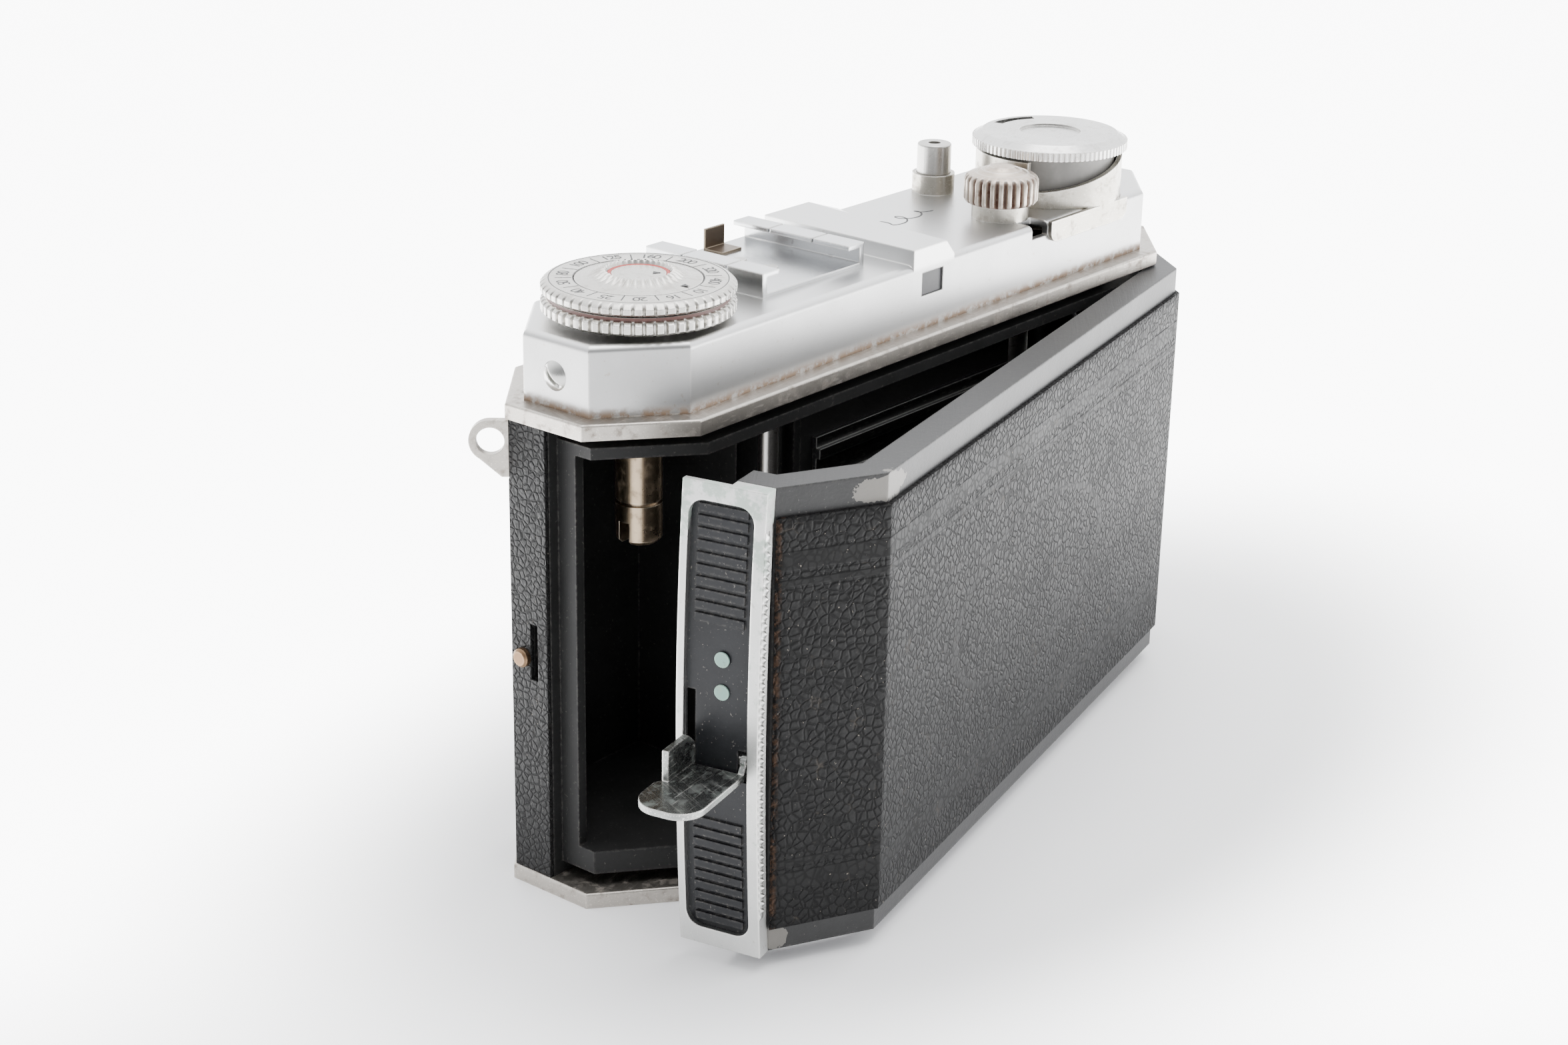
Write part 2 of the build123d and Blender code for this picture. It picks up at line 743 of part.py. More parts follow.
GUARD_TAB = (-44.0, -25.0)
GUARD_TAB_T = 0.6
SILL_X = (-28.4, -30.0, -40.0, -45.4)
SILL_RISE = (2.1, 2.3, 4.9)
GUARD_SILL = (
    (SILL_X[0], GUARD_TOP),
    (SILL_X[0], DECK_Z + SILL_RISE[0]),
    (SILL_X[1], DECK_Z + SILL_RISE[1]),
    (SILL_X[2], DECK_Z + SILL_RISE[2]),
    (SILL_X[3], GUARD_TOP),
)
SILL_Y = 6.3

with BuildPart() as wind_guard:
    extrude(disc(WIND_X, WIND_Y, GUARD_R, level(GUARD_LOW)), amount=GUARD_TOP - GUARD_LOW)
    extrude(
        disc(WIND_X, WIND_Y, GUARD_R - GUARD_T, level(GUARD_LOW + GUARD_T)),
        amount=GUARD_TOP,
        mode=Mode.SUBTRACT,
    )
    extrude(
        disc(WIND_X, WIND_Y, WIND_SHAFT_R + RUN, level(GUARD_LOW)),
        amount=GUARD_T,
        mode=Mode.SUBTRACT,
    )
    extrude(
        face(GUARD_SILL, lensward(PLATE_HALF_Y)),
        amount=PLATE_HALF_Y - SILL_Y,
        mode=Mode.SUBTRACT,
    )
    with BuildSketch(lensward(COVER_HALF_Y + GUARD_TAB_T), mode=Mode.PRIVATE) as tab:
        with BuildLine():
            Polyline(
                *box_corners(*GUARD_TAB, GUARD_LOW, DECK_Z),
                close=True,
            )
        make_face()
        fillet(tab.vertices().group_by(Axis.Y)[0], radius=1.5)
    extrude(tab.sketch, amount=GUARD_TAB_T)
    extrude(
        disc(WIND_X, WIND_Y, GUARD_R - GUARD_T, level(GUARD_LOW + GUARD_T)),
        amount=GUARD_TOP,
        mode=Mode.SUBTRACT,
    )
hand_in(wind_guard.part, "wind_guard")

# ---- top cover ------------------------------------------------------------------
SCREW_Y = -0.2
SCREW_RISE = 4.1
SCREW_Z = COVER_BASE + SCREW_RISE
SCREW_R = 1.8
SCREW_HEAD = 0.8
SCREW_SLOT = 0.45
EYEPIECE = (-0.7, 3.9, DECK_Z - 4.4, DECK_Z - 1.3)
WINDOW = (-3.4, 3.6, DECK_Z - 5.8, DECK_Z - 0.8)
NOTCH_SUNK = 1.9
NOTCH = (-25.0, -21.2, DECK_Z - NOTCH_SUNK)
NOTCH_DEPTH = 3.0


def ridge_profile(step, top, foot):
    """The raised housing's section: an upright step on one side, a slope on the other."""
    low = DECK_Z - COVER_WALL
    return [(step, low), (step, RIDGE_Z), (top, RIDGE_Z), (foot, DECK_Z), (foot, low)]


with BuildPart() as top_cover:
    extrude(face(COVER, level(COVER_BASE)), amount=DECK_Z - COVER_BASE)
    fillet(top_cover.faces().sort_by(Axis.Z)[-1].edges(), COVER_FILLET)
    loft(
        [
            face(ridge_profile(*RIDGE_REAR), lensward(COVER_HALF_Y)),
            face(ridge_profile(*RIDGE_FRONT), lensward(-COVER_HALF_Y)),
        ],
        ruled=True,
    )
    extrude(
        face(COVER, level(COVER_BASE), -COVER_WALL),
        amount=DECK_Z - COVER_WALL - COVER_BASE,
        mode=Mode.SUBTRACT,
    )
    extrude(
        face(box_corners(*EYEPIECE), lensward(FAR)),
        amount=FAR,
        mode=Mode.SUBTRACT,
    )
    extrude(
        face(box_corners(*WINDOW), lensward(0)),
        amount=FAR,
        mode=Mode.SUBTRACT,
    )
    extrude(
        disc(WIND_X, WIND_Y, GUARD_R + RUN, level(GUARD_LOW - RUN)),
        amount=FAR,
        mode=Mode.SUBTRACT,
    )
    for hole_x, hole_y, hole_r in (
        (REWIND_X, REWIND_Y, SHAFT_R + RUN),
        (BUTTON_X, BUTTON_Y, BUTTON_R + RUN),
        (TURN_X, TURN_Y, TURN_STEM_R + RUN),
    ):
        extrude(
            disc(hole_x, hole_y, hole_r, level(COVER_BASE)),
            amount=FAR,
            mode=Mode.SUBTRACT,
        )
    extrude(
        face(
            box_corners(NOTCH[0], NOTCH[1], COVER_HALF_Y - NOTCH_DEPTH, FAR),
            level(NOTCH[2]),
        ),
        amount=FAR,
        mode=Mode.SUBTRACT,
    )
hand_in(top_cover.part, "top_cover")

with BuildPart() as eyepiece_glass:
    extrude(
        face(box_corners(*EYEPIECE), lensward(COVER_HALF_Y - END_PLAY)),
        amount=COVER_WALL - END_PLAY,
    )
hand_in(eyepiece_glass.part, "eyepiece_glass")

with BuildPart() as finder_window:
    extrude(
        face(box_corners(*WINDOW), lensward(COVER_WALL - COVER_HALF_Y)),
        amount=COVER_WALL - END_PLAY,
    )
hand_in(finder_window.part, "finder_window")

with BuildPart() as cover_screws:
    for side in (1, -1):
        seat = Plane(origin=(side * COVER_HALF_X, SCREW_Y, SCREW_Z), z_dir=(side, 0, 0))
        head = disc(0, 0, SCREW_R, seat)
        crown = disc(0, 0, SCREW_R / 2, seat.offset(SCREW_HEAD))
        loft([head, crown])
        with BuildSketch(seat.offset(SCREW_HEAD / 2)):
            with Locations(Location((0, 0), 45)):
                Rectangle(2 * SCREW_R, SCREW_SLOT)
        extrude(amount=SCREW_HEAD, mode=Mode.SUBTRACT)
hand_in(cover_screws.part, "cover_screws")

# ---- accessory shoe -------------------------------------------------------------
SHOE_OUTER = SHOE_SLOT_W / 2 + SHOE_WALL
SHOE_SIDES = box_corners(
    SHOE_CENTRE_X - SHOE_OUTER, SHOE_CENTRE_X + SHOE_OUTER, SHOE_FRONT, SHOE_REAR
)
SHOE_HEIGHT = SHOE_T + SHOE_SLOT_H + SHOE_T
SHOE_MID_Y = (SHOE_FRONT + SHOE_REAR) / 2
STOP_X = (-4.0, -0.2)
STOP_Y = -10.6
STOP_FOOT_Y = -7.4
STOP_T = 0.3
STOP_TOP = DECK_Z + SHOE_HEIGHT + STOP_T
SHOE_RIVET_R = 0.9
SHOE_RIVET_H = 0.15
SHOE_RIVET_Y = 2.6

with BuildPart() as accessory_shoe:
    extrude(face(SHOE_SIDES, level(DECK_Z)), amount=SHOE_HEIGHT)
    for half_width, low, high in (
        (SHOE_SLOT_W / 2, SHOE_T, SHOE_T + SHOE_SLOT_H),
        (SHOE_OUTER - SHOE_LIP, SHOE_T, SHOE_HEIGHT),
    ):
        extrude(
            face(
                box_corners(SHOE_CENTRE_X - half_width, SHOE_CENTRE_X + half_width, -FAR, FAR),
                level(DECK_Z + low),
            ),
            amount=high - low,
            mode=Mode.SUBTRACT,
        )
    for slit_y in (SHOE_MID_Y - SLIT_Y, SHOE_MID_Y + SLIT_Y):
        extrude(
            face(
                box_corners(-FAR, FAR, slit_y - SLIT_W / 2, slit_y + SLIT_W / 2),
                level(DECK_Z + SHOE_T + SHOE_SLOT_H),
            ),
            amount=SHOE_T,
            mode=Mode.SUBTRACT,
        )
hand_in(accessory_shoe.part, "accessory_shoe")

with BuildPart() as shoe_stop:
    stop_x = [SHOE_CENTRE_X + x for x in STOP_X]
    extrude(
        face(box_corners(*stop_x, STOP_Y, STOP_FOOT_Y), level(DECK_Z + SHOE_T)),
        amount=STOP_T,
    )
    extrude(
        face(box_corners(*stop_x, STOP_Y, STOP_Y + STOP_T), level(DECK_Z + SHOE_T)),
        amount=STOP_TOP - DECK_Z - SHOE_T,
    )
hand_in(shoe_stop.part, "shoe_stop")

with BuildPart() as shoe_rivets:
    for rivet_y in (SHOE_MID_Y - SHOE_RIVET_Y, SHOE_MID_Y + SHOE_RIVET_Y):
        extrude(
            disc(SHOE_CENTRE_X, rivet_y, SHOE_RIVET_R, level(DECK_Z + SHOE_T)),
            amount=SHOE_RIVET_H,
        )
hand_in(shoe_rivets.part, "shoe_rivets")

# ---- small controls -------------------------------------------------------------
SOCKET_R = 0.9
SOCKET_DEPTH = 1.6

with BuildPart() as release_collar:
    extrude(disc(BUTTON_X, BUTTON_Y, COLLAR_R, level(DECK_Z), BUTTON_R + RUN), amount=COLLAR_H)
hand_in(release_collar.part, "release_collar")

with BuildPart() as release_button:
    extrude(disc(BUTTON_X, BUTTON_Y, BUTTON_R, level(BUTTON_LOW)), amount=BUTTON_TOP - BUTTON_LOW)
    fillet(release_button.faces().sort_by(Axis.Z)[-1].edges(), EDGE_FILLET)
    extrude(
        disc(BUTTON_X, BUTTON_Y, SOCKET_R, level(BUTTON_TOP - SOCKET_DEPTH)),
        amount=SOCKET_DEPTH,
        mode=Mode.SUBTRACT,
    )
hand_in(release_button.part, "release_button")

with BuildPart() as turn_collar:
    extrude(
        disc(TURN_X, TURN_Y, TURN_BASE_R, level(DECK_Z), TURN_STEM_R + RUN),
        amount=TURN_BASE_TOP - DECK_Z - RUN,
    )
hand_in(turn_collar.part, "turn_collar")

with BuildPart() as turn_knob:
    extrude(
        knurled(TURN_X, TURN_Y, TURN_R, level(TURN_BASE_TOP), TURN_FLUTES, TURN_FLUTE_R),
        amount=TURN_TOP - TURN_BASE_TOP,
    )
    loft(
        [
            disc(TURN_X, TURN_Y, TURN_R - TURN_FLUTE_R, level(TURN_TOP)),
            disc(TURN_X, TURN_Y, TURN_BASE_R, level(TURN_TOP + TURN_DOME)),
        ]
    )
    extrude(
        disc(TURN_X, TURN_Y, TURN_STEM_R, level(DECK_Z - COVER_WALL)),
        amount=TURN_BASE_TOP - DECK_Z + COVER_WALL,
    )
hand_in(turn_knob.part, "turn_knob")

# ---- rewind group ---------------------------------------------------------------
KNOB_LOW = DECK_Z + REWIND_GAP
DIAL_LOW = KNOB_LOW + KNOB_T + KNOB_GROOVE_T
DIAL_TOP = DIAL_LOW + DIAL_T
DIAL_CLEAR = 0.06

with BuildPart() as rewind_shaft:
    extrude(disc(REWIND_X, REWIND_Y, SHAFT_R, level(FORK_LOW)), amount=KNOB_LOW - FORK_LOW)
    chamfer(rewind_shaft.faces().sort_by(Axis.Z)[0].edges(), KNOB_GROOVE_T)
    extrude(
        disc(REWIND_X, REWIND_Y, FAR, level(SHAFT_NECK_Z), SHAFT_R - SHAFT_NECK_T),
        amount=SHAFT_NECK_T,
        mode=Mode.SUBTRACT,
    )
    with BuildSketch(endward(REWIND_X - SHAFT_R)):
        with Locations((REWIND_Y, FORK_LOW)):
            Rectangle(FORK_SLOT, 2 * SHAFT_R)
    extrude(amount=2 * SHAFT_R, mode=Mode.SUBTRACT)
hand_in(rewind_shaft.part, "rewind_shaft")

with BuildPart() as rewind_washer:
    extrude(
        disc(REWIND_X, REWIND_Y, WASHER_R, level(DECK_Z + RUN), SHAFT_R + RUN),
        amount=REWIND_GAP - 2 * RUN,
    )
hand_in(rewind_washer.part, "rewind_washer")

with BuildPart() as rewind_knob:
    extrude(
        knurled(REWIND_X, REWIND_Y, KNOB_R, level(KNOB_LOW), KNURLS, KNURL_R),
        amount=KNOB_T,
    )
    extrude(
        disc(REWIND_X, REWIND_Y, KNOB_GROOVE_R, level(KNOB_LOW + KNOB_T)),
        amount=KNOB_GROOVE_T - RUN,
    )
    extrude(
        disc(REWIND_X, REWIND_Y, DIAL_INNER_R, level(KNOB_LOW)),
        amount=DIAL_TOP - KNOB_LOW,
    )
    loft(
        [
            disc(REWIND_X, REWIND_Y, HUB_TOP_R + HUB_RISE, level(DIAL_TOP)),
            disc(REWIND_X, REWIND_Y, HUB_TOP_R, level(DIAL_TOP + HUB_RISE)),
        ]
    )
    extrude(
        disc(REWIND_X, REWIND_Y, HUB_CAP_R, level(DIAL_TOP)),
        amount=HUB_RISE,
        mode=Mode.SUBTRACT,
    )
hand_in(rewind_knob.part, "rewind_knob")

with BuildPart() as reminder_dial:
    extrude(
        knurled(REWIND_X, REWIND_Y, KNOB_R, level(DIAL_LOW), KNURLS, KNURL_R),
        amount=DIAL_T,
    )
    extrude(
        disc(REWIND_X, REWIND_Y, DIAL_INNER_R + DIAL_CLEAR, level(DIAL_LOW)),
        amount=DIAL_T,
        mode=Mode.SUBTRACT,
    )
hand_in(reminder_dial.part, "reminder_dial")

with BuildPart() as hub_disc:
    extrude(disc(REWIND_X, REWIND_Y, HUB_CAP_R - RUN, level(DIAL_TOP)), amount=HUB_RISE / 2)
hand_in(hub_disc.part, "hub_disc")

# ---- back -----------------------------------------------------------------------
HINGE_KEEP_Y = 7.4
LEATHER_START_Y = 7.2


def back_band(shift, low, high, width):
    """A band of the given width that follows the back's outline grown by shift."""
    outer = face(BACK, level(low), shift)
    inner = face(BACK, level(low), shift - width)
    return extrude(outer - inner, amount=high - low, mode=Mode.PRIVATE)


with BuildPart() as back_shell:
    add(back_band(0, BACK_LOW, BACK_HIGH, BACK_T))
    for rim_low in (BACK_LOW, BACK_HIGH - BACK_T):
        add(back_band(0, rim_low, rim_low + BACK_T, BACK_RIM))
    for cleared in (
        box_corners(-FAR, FAR, -FAR, BACK_FRONT_Y),
        box_corners(-FAR, 0, -FAR, HINGE_KEEP_Y),
    ):
        extrude(face(cleared), amount=DECK_Z, mode=Mode.SUBTRACT)
    extrude(
        face(box_corners(-FAR, -HINGE_TRIM_X, -FAR, FAR)),
        amount=DECK_Z,
        mode=Mode.SUBTRACT,
    )
    for low, high in KNUCKLE_TOPS:
        extrude(disc(HINGE_X, HINGE_Y, KNUCKLE_R, level(low)), amount=high - low)
        extrude(
            face(
                [
                    (HINGE_X, HINGE_Y),
                    (HINGE_X + BACK_T, HINGE_Y - BACK_T / 4),
                    (-HINGE_TRIM_X, HINGE_KEEP_Y + BACK_T),
                    (BACK_T - HINGE_TRIM_X, HINGE_KEEP_Y + 2 * BACK_T),
                    (BACK_T - HINGE_TRIM_X, HINGE_KEEP_Y + 2.3 * BACK_T),
                    (-HINGE_TRIM_X, HINGE_KEEP_Y + 1.6 * BACK_T),
                    (HINGE_X, HINGE_Y + KNUCKLE_R),
                ],
                level(low),
            ),
            amount=high - low,
        )
    extrude(
        disc(HINGE_X, HINGE_Y, HINGE_PIN_R + RUN),
        amount=DECK_Z,
        mode=Mode.SUBTRACT,
    )
hand_in(swung(back_shell.part), "back_shell")

with BuildPart() as hinge_pin:
    extrude(
        disc(HINGE_X, HINGE_Y, HINGE_PIN_R, level(KNUCKLE_TOPS[0][0])),
        amount=KNUCKLE_TOPS[-1][-1] - KNUCKLE_TOPS[0][0],
    )
hand_in(hinge_pin.part, "hinge_pin")

with BuildPart() as back_leather:
    add(back_band(LEATHER_T, BACK_LEATHER_LOW, BACK_LEATHER_HIGH, LEATHER_T))
    for cleared in (
        box_corners(-FAR, FAR, -FAR, LEATHER_START_Y),
        box_corners(-FAR, -HINGE_TRIM_X, -FAR, FAR),
    ):
        extrude(face(cleared), amount=DECK_Z, mode=Mode.SUBTRACT)
hand_in(swung(back_leather.part), "back_leather")

PRESS_HALF_X = 21.0
PRESS_HALF_Z = 16.5
PRESS_Y = 11.1
PRESS_T = 0.8
SPRING_T = 0.3
SPRING_HALF_X = 16.0
SPRING_HALF_Z = 5.0

with BuildPart() as pressure_plate:
    with BuildSketch(lensward(PRESS_Y + PRESS_T)):
        with Locations((0, MID_Z)):
            RectangleRounded(2 * PRESS_HALF_X, 2 * PRESS_HALF_Z, LATCH_CORNER)
    extrude(amount=PRESS_T)
hand_in(swung(pressure_plate.part), "pressure_plate")

with BuildPart() as pressure_spring:
    with BuildSketch(level(MID_Z - SPRING_HALF_Z)):
        spring_y = BACK_Y - BACK_T
        with BuildLine():
            bowed = ThreePointArc(
                (-SPRING_HALF_X, PRESS_Y + PRESS_T),
                (0, spring_y - SPRING_T),
                (SPRING_HALF_X, PRESS_Y + PRESS_T),
            )
            outer_bow = ThreePointArc(
                (-SPRING_HALF_X, PRESS_Y + PRESS_T + SPRING_T),
                (0, spring_y),
                (SPRING_HALF_X, PRESS_Y + PRESS_T + SPRING_T),
            )
            Line(bowed @ 0, outer_bow @ 0)
            Line(bowed @ 1, outer_bow @ 1)
        make_face()
    extrude(amount=2 * SPRING_HALF_Z)
hand_in(swung(pressure_spring.part), "pressure_spring")

# ---- latch ----------------------------------------------------------------------
FLANGE_T = 0.8
LATCH_RETURN_Y = BACK_FRONT_Y + 0.1
LATCH_MID_Z = (BACK_LOW + BACK_HIGH) / 2


def bulge(inset, thickness, y0, y1, low=BACK_LOW, high=BACK_HIGH):
    """A bowed sheet: the latch's outer curve moved in by inset, with a thickness."""
    with BuildSketch(lensward(y1), mode=Mode.PRIVATE) as drawn:
        with BuildLine():
            outer = ThreePointArc(
                (LATCH_END_X - inset, BACK_LOW),
                (LATCH_MID_X - inset, LATCH_MID_Z),
                (LATCH_END_X - inset, BACK_HIGH),
            )
            inner = ThreePointArc(
                (LATCH_END_X - inset - thickness, BACK_LOW),
                (LATCH_MID_X - inset - thickness, LATCH_MID_Z),
                (LATCH_END_X - inset - thickness, BACK_HIGH),
            )
            Line(outer @ 0, inner @ 0)
            Line(outer @ 1, inner @ 1)
        make_face()
        with Locations((LATCH_END_X, (low + high) / 2)):
            Rectangle(FAR, high - low, mode=Mode.INTERSECT)
    return extrude(drawn.sketch, amount=y1 - y0, mode=Mode.PRIVATE)


with BuildPart() as latch_plate:
    add(bulge(0, LATCH_SHEET, LATCH_FRONT_Y, LATCH_REAR_Y))
    add(bulge(LATCH_SHEET, LATCH_END_X - LATCH_SHEET - BACK_X - RUN, LATCH_RETURN_Y, LATCH_REAR_Y))
    with BuildSketch(endward(BACK_X - BACK_T), mode=Mode.PRIVATE) as hollow:
        front, rear, low, high = LATCH_OPENING
        with Locations(((front + rear) / 2, (low + high) / 2)):
            Rectangle(rear - front + 2 * INSET_LAP, high - low + 2 * INSET_LAP)
    extrude(
        hollow.sketch,
        amount=LATCH_END_X - LATCH_SHEET - BACK_X + BACK_T,
        mode=Mode.SUBTRACT,
    )
    add(
        bulge(
            LATCH_SHEET,
            LATCH_MID_X - BACK_X,
            LATCH_OPENING[0] - INSET_LAP,
            LATCH_OPENING[1] + INSET_LAP,
            LATCH_OPENING[2] - INSET_LAP,
            LATCH_OPENING[3] + INSET_LAP,
        ),
        mode=Mode.SUBTRACT,
    )
    with BuildSketch(endward(BACK_X)):
        with Locations(((front + rear) / 2, (low + high) / 2)):
            RectangleRounded(rear - front, high - low, LATCH_CORNER)
    extrude(amount=FAR, mode=Mode.SUBTRACT)
hand_in(swung(latch_plate.part), "latch_plate")

FLANGE_SLOT = (LEVER_FRONT_Y - SLOT_PLAY, LEVER_FRONT_Y + FLANGE_T + SLOT_PLAY, 25.2, 35.7)
EAR_SLOT = (LEVER_REAR_Y - FLANGE_T - SLOT_PLAY, LEVER_REAR_Y + SLOT_PLAY, 25.2, 29.2)
PIN_SEAT = 1.0
PIN_REACH = 0.6

with BuildPart() as latch_inset:
    lapped = (
        LATCH_OPENING[0] - INSET_LAP,
        LATCH_OPENING[1] + INSET_LAP,
        LATCH_OPENING[2] - INSET_LAP,
        LATCH_OPENING[3] + INSET_LAP,
    )
    add(bulge(LATCH_SHEET, INSET_T, *lapped))
    for rib_start in RIB_STARTS:
        for rib in range(RIB_COUNT):
            rib_z = rib_start + rib * RIB_PITCH
            add(
                bulge(
                    LATCH_SHEET - RIB_H,
                    RIB_H + INSET_T / 2,
                    LATCH_OPENING[0] + RIB_W,
                    LATCH_OPENING[1] - RIB_W,
                    rib_z,
                    rib_z + RIB_W,
                )
            )
    for y0, y1 in (
        (LEVER_FRONT_Y - SLOT_PLAY - PIN_REACH, LEVER_FRONT_Y - SLOT_PLAY),
        (LEVER_REAR_Y + SLOT_PLAY, LEVER_REAR_Y + SLOT_PLAY + PIN_REACH),
    ):
        extrude(
            face(
                box_corners(
                    LEVER_PIVOT_X - PIN_SEAT / 2 - 2 * RUN,
                    LEVER_PIVOT_X + PIN_SEAT - 3 * RUN,
                    LEVER_PIVOT_Z - PIN_SEAT,
                    LEVER_PIVOT_Z + PIN_SEAT,
                ),
                lensward(y1),
            ),
            amount=y1 - y0,
        )
    extrude(
        disc(LEVER_PIVOT_X, LEVER_PIVOT_Z, LEVER_PIN_R, lensward(FAR)),
        amount=2 * FAR,
        mode=Mode.SUBTRACT,
    )
    for slot in (FLANGE_SLOT, EAR_SLOT):
        extrude(face(box_corners(*slot), endward(0)), amount=FAR, mode=Mode.SUBTRACT)
hand_in(swung(latch_inset.part), "latch_inset")

with BuildPart() as latch_rivets:
    for rivet_z in RIVET_ZS:
        seat_x = LATCH_MID_X - LATCH_SHEET
        extrude(disc(RIVET_Y, rivet_z, RIVET_R, endward(seat_x)), amount=RIVET_H)
    add(bulge(LATCH_SHEET, LATCH_MID_X, -FAR, FAR), mode=Mode.SUBTRACT)
hand_in(swung(latch_rivets.part), "latch_rivets")

LEVER_HIGH = LEVER_PIVOT_Z - LEVER_DROP
LEVER_PLAN = [
    (LEVER_ROOT_X, LEVER_FRONT_Y),
    (LEVER_FLANGE_X, LEVER_FRONT_Y),
    (LEVER_FLANGE_X + LEVER_T, LEVER_FRONT_Y - LEVER_FLARE),
    (LEVER_TIP_X, LEVER_FRONT_Y - LEVER_FLARE),
    (LEVER_TIP_X, LEVER_REAR_Y),
    (LEVER_ROOT_X, LEVER_REAR_Y),
]

with BuildPart() as latch_lever:
    with BuildSketch(level(LEVER_HIGH - LEVER_T)) as plan:
        with BuildLine():
            Polyline(*LEVER_PLAN, close=True)
        make_face()
        fillet(plan.vertices().group_by(Axis.X)[-1], radius=3.2)
    extrude(amount=LEVER_T)
    for y0, tall in (
        (LEVER_FRONT_Y, True),
        (LEVER_REAR_Y - FLANGE_T, False),
    ):
        reach = LEVER_FLANGE_X if tall else LEVER_ROOT_X + 2 * LEVER_T
        rise = LEVER_FLANGE_UP if tall else -LEVER_DROP
        near = LEVER_ROOT_X + LEVER_T if tall else LEVER_ROOT_X
        outline = [
            (LEVER_PIVOT_X, LEVER_PIVOT_Z - LEVER_EAR_R),
            (LEVER_ROOT_X, LEVER_HIGH - LEVER_T),
            (reach, LEVER_HIGH - LEVER_T),
            (reach, LEVER_PIVOT_Z + rise),
            (near, LEVER_PIVOT_Z + rise),
            (LEVER_PIVOT_X, LEVER_PIVOT_Z + LEVER_EAR_R),
        ]
        extrude(face(outline, lensward(y0 + FLANGE_T)), amount=FLANGE_T)
        extrude(
            disc(LEVER_PIVOT_X, LEVER_PIVOT_Z, LEVER_EAR_R, lensward(y0 + FLANGE_T)),
            amount=FLANGE_T,
        )
    extrude(
        disc(LEVER_PIVOT_X, LEVER_PIVOT_Z, LEVER_PIN_R + RUN, lensward(FAR)),
        amount=2 * FAR,
        mode=Mode.SUBTRACT,
    )
hand_in(swung(latch_lever.part), "latch_lever")

with BuildPart() as lever_pin:
    pin_rear = LEVER_REAR_Y + SLOT_PLAY + PIN_REACH
    pin_front = LEVER_FRONT_Y - SLOT_PLAY - PIN_REACH
    extrude(
        disc(LEVER_PIVOT_X, LEVER_PIVOT_Z, LEVER_PIN_R, lensward(pin_rear)),
        amount=pin_rear - pin_front,
    )
hand_in(swung(lever_pin.part), "lever_pin")

# ---- bed ------------------------------------------------------------------------
BED_FRONT_Y = BED_HINGE_Y - BED_T
BED_START_X = BED_HINGE_X + BED_ROOT
FRONT_RIM_X = 24.6
FRONT_RIM_DROP = 2.9
FRONT_RIM_Z = (6.5, BODY_TOP - FRONT_RIM_DROP)
FRONT_RIM_T = 0.9
BELLOWS_HALF_X = 19.7
BELLOWS_HALF_Z = 15.4
BELLOWS_WALL = 1.4
BELLOWS_REAR = BAY_REAR - EDGE_GAP
BELLOWS_FOLDS = 5
BELLOWS_PLEAT = 0.8

with BuildPart() as front_rim:
    extrude(
        face(box_corners(-FRONT_RIM_X, FRONT_RIM_X, *FRONT_RIM_Z), lensward(FRONT_Y)),
        amount=FRONT_RIM_T,
    )
    extrude(
        face(
            box_corners(-LENS_BAY_X, LENS_BAY_X, LENS_BAY_LOW, LENS_BAY_HIGH),
            lensward(FRONT_Y),
        ),
        amount=FRONT_RIM_T,
        mode=Mode.SUBTRACT,
    )
hand_in(front_rim.part, "front_rim")

with BuildPart() as bed:
    extrude(
        face(box_corners(BED_START_X, BED_FREE_X, BED_LOW, BED_HIGH), lensward(BED_HINGE_Y)),
        amount=BED_T,
    )
    for low, high in BODY_BED_KNUCKLES:
        extrude(
            disc(BED_HINGE_X, BED_HINGE_Y, BED_KNUCKLE_R + EDGE_GAP, level(low - EDGE_GAP)),
            amount=high - low + 2 * EDGE_GAP,
            mode=Mode.SUBTRACT,
        )
    for low, high in BED_KNUCKLES:
        extrude(disc(BED_HINGE_X, BED_HINGE_Y, BED_KNUCKLE_R, level(low)), amount=high - low)
        extrude(
            face(
                box_corners(BED_HINGE_X, BED_START_X + BED_T, BED_FRONT_Y, BED_HINGE_Y),
                level(low),
            ),
            amount=high - low,
        )
    extrude(
        disc(BED_HINGE_X, BED_HINGE_Y, BED_PIN_R + RUN, level(BED_LOW)),
        amount=BED_HIGH - BED_LOW,
        mode=Mode.SUBTRACT,
    )
hand_in(bed.part, "bed")

with BuildPart() as bed_pin:
    extrude(
        disc(BED_HINGE_X, BED_HINGE_Y, BED_PIN_R, level(BED_KNUCKLES[0][0])),
        amount=BED_KNUCKLES[-1][-1] - BED_KNUCKLES[0][0],
    )
hand_in(bed_pin.part, "bed_pin")

with BuildPart() as bed_leather:
    extrude(
        face(
            box_corners(BED_START_X + BED_T, BED_FREE_X - BED_T, BED_LOW + BED_T, BED_HIGH - BED_T),
            lensward(BED_FRONT_Y),
        ),
        amount=LEATHER_T,
    )
hand_in(bed_leather.part, "bed_leather")

RELEASE_OUT = 1.6
RELEASE_STROKE = 1.0

with BuildPart() as bed_release:
    extrude(
        disc(RELEASE_X, RELEASE_Z, RELEASE_R, lensward(FRONT_Y + RELEASE_STROKE)),
        amount=RELEASE_STROKE + RELEASE_OUT,
    )
hand_in(bed_release.part, "bed_release")

# ---- lens group -----------------------------------------------------------------
LENS_Z = MID_Z
TUBE_FRONT = FOCUS_FRONT + 1.2
TUBE_REAR = 0.6
GLASS_T = 1.2

with BuildPart() as lens_standard:
    with BuildSketch(lensward(HOUSING_REAR + STANDARD_T)):
        with Locations((0, LENS_Z)):
            RectangleRounded(2 * STANDARD_HALF_X, 2 * STANDARD_HALF_Z, LATCH_CORNER)
            Circle(TUBE_R, mode=Mode.SUBTRACT)
    extrude(amount=STANDARD_T)
hand_in(lens_standard.part, "lens_standard")

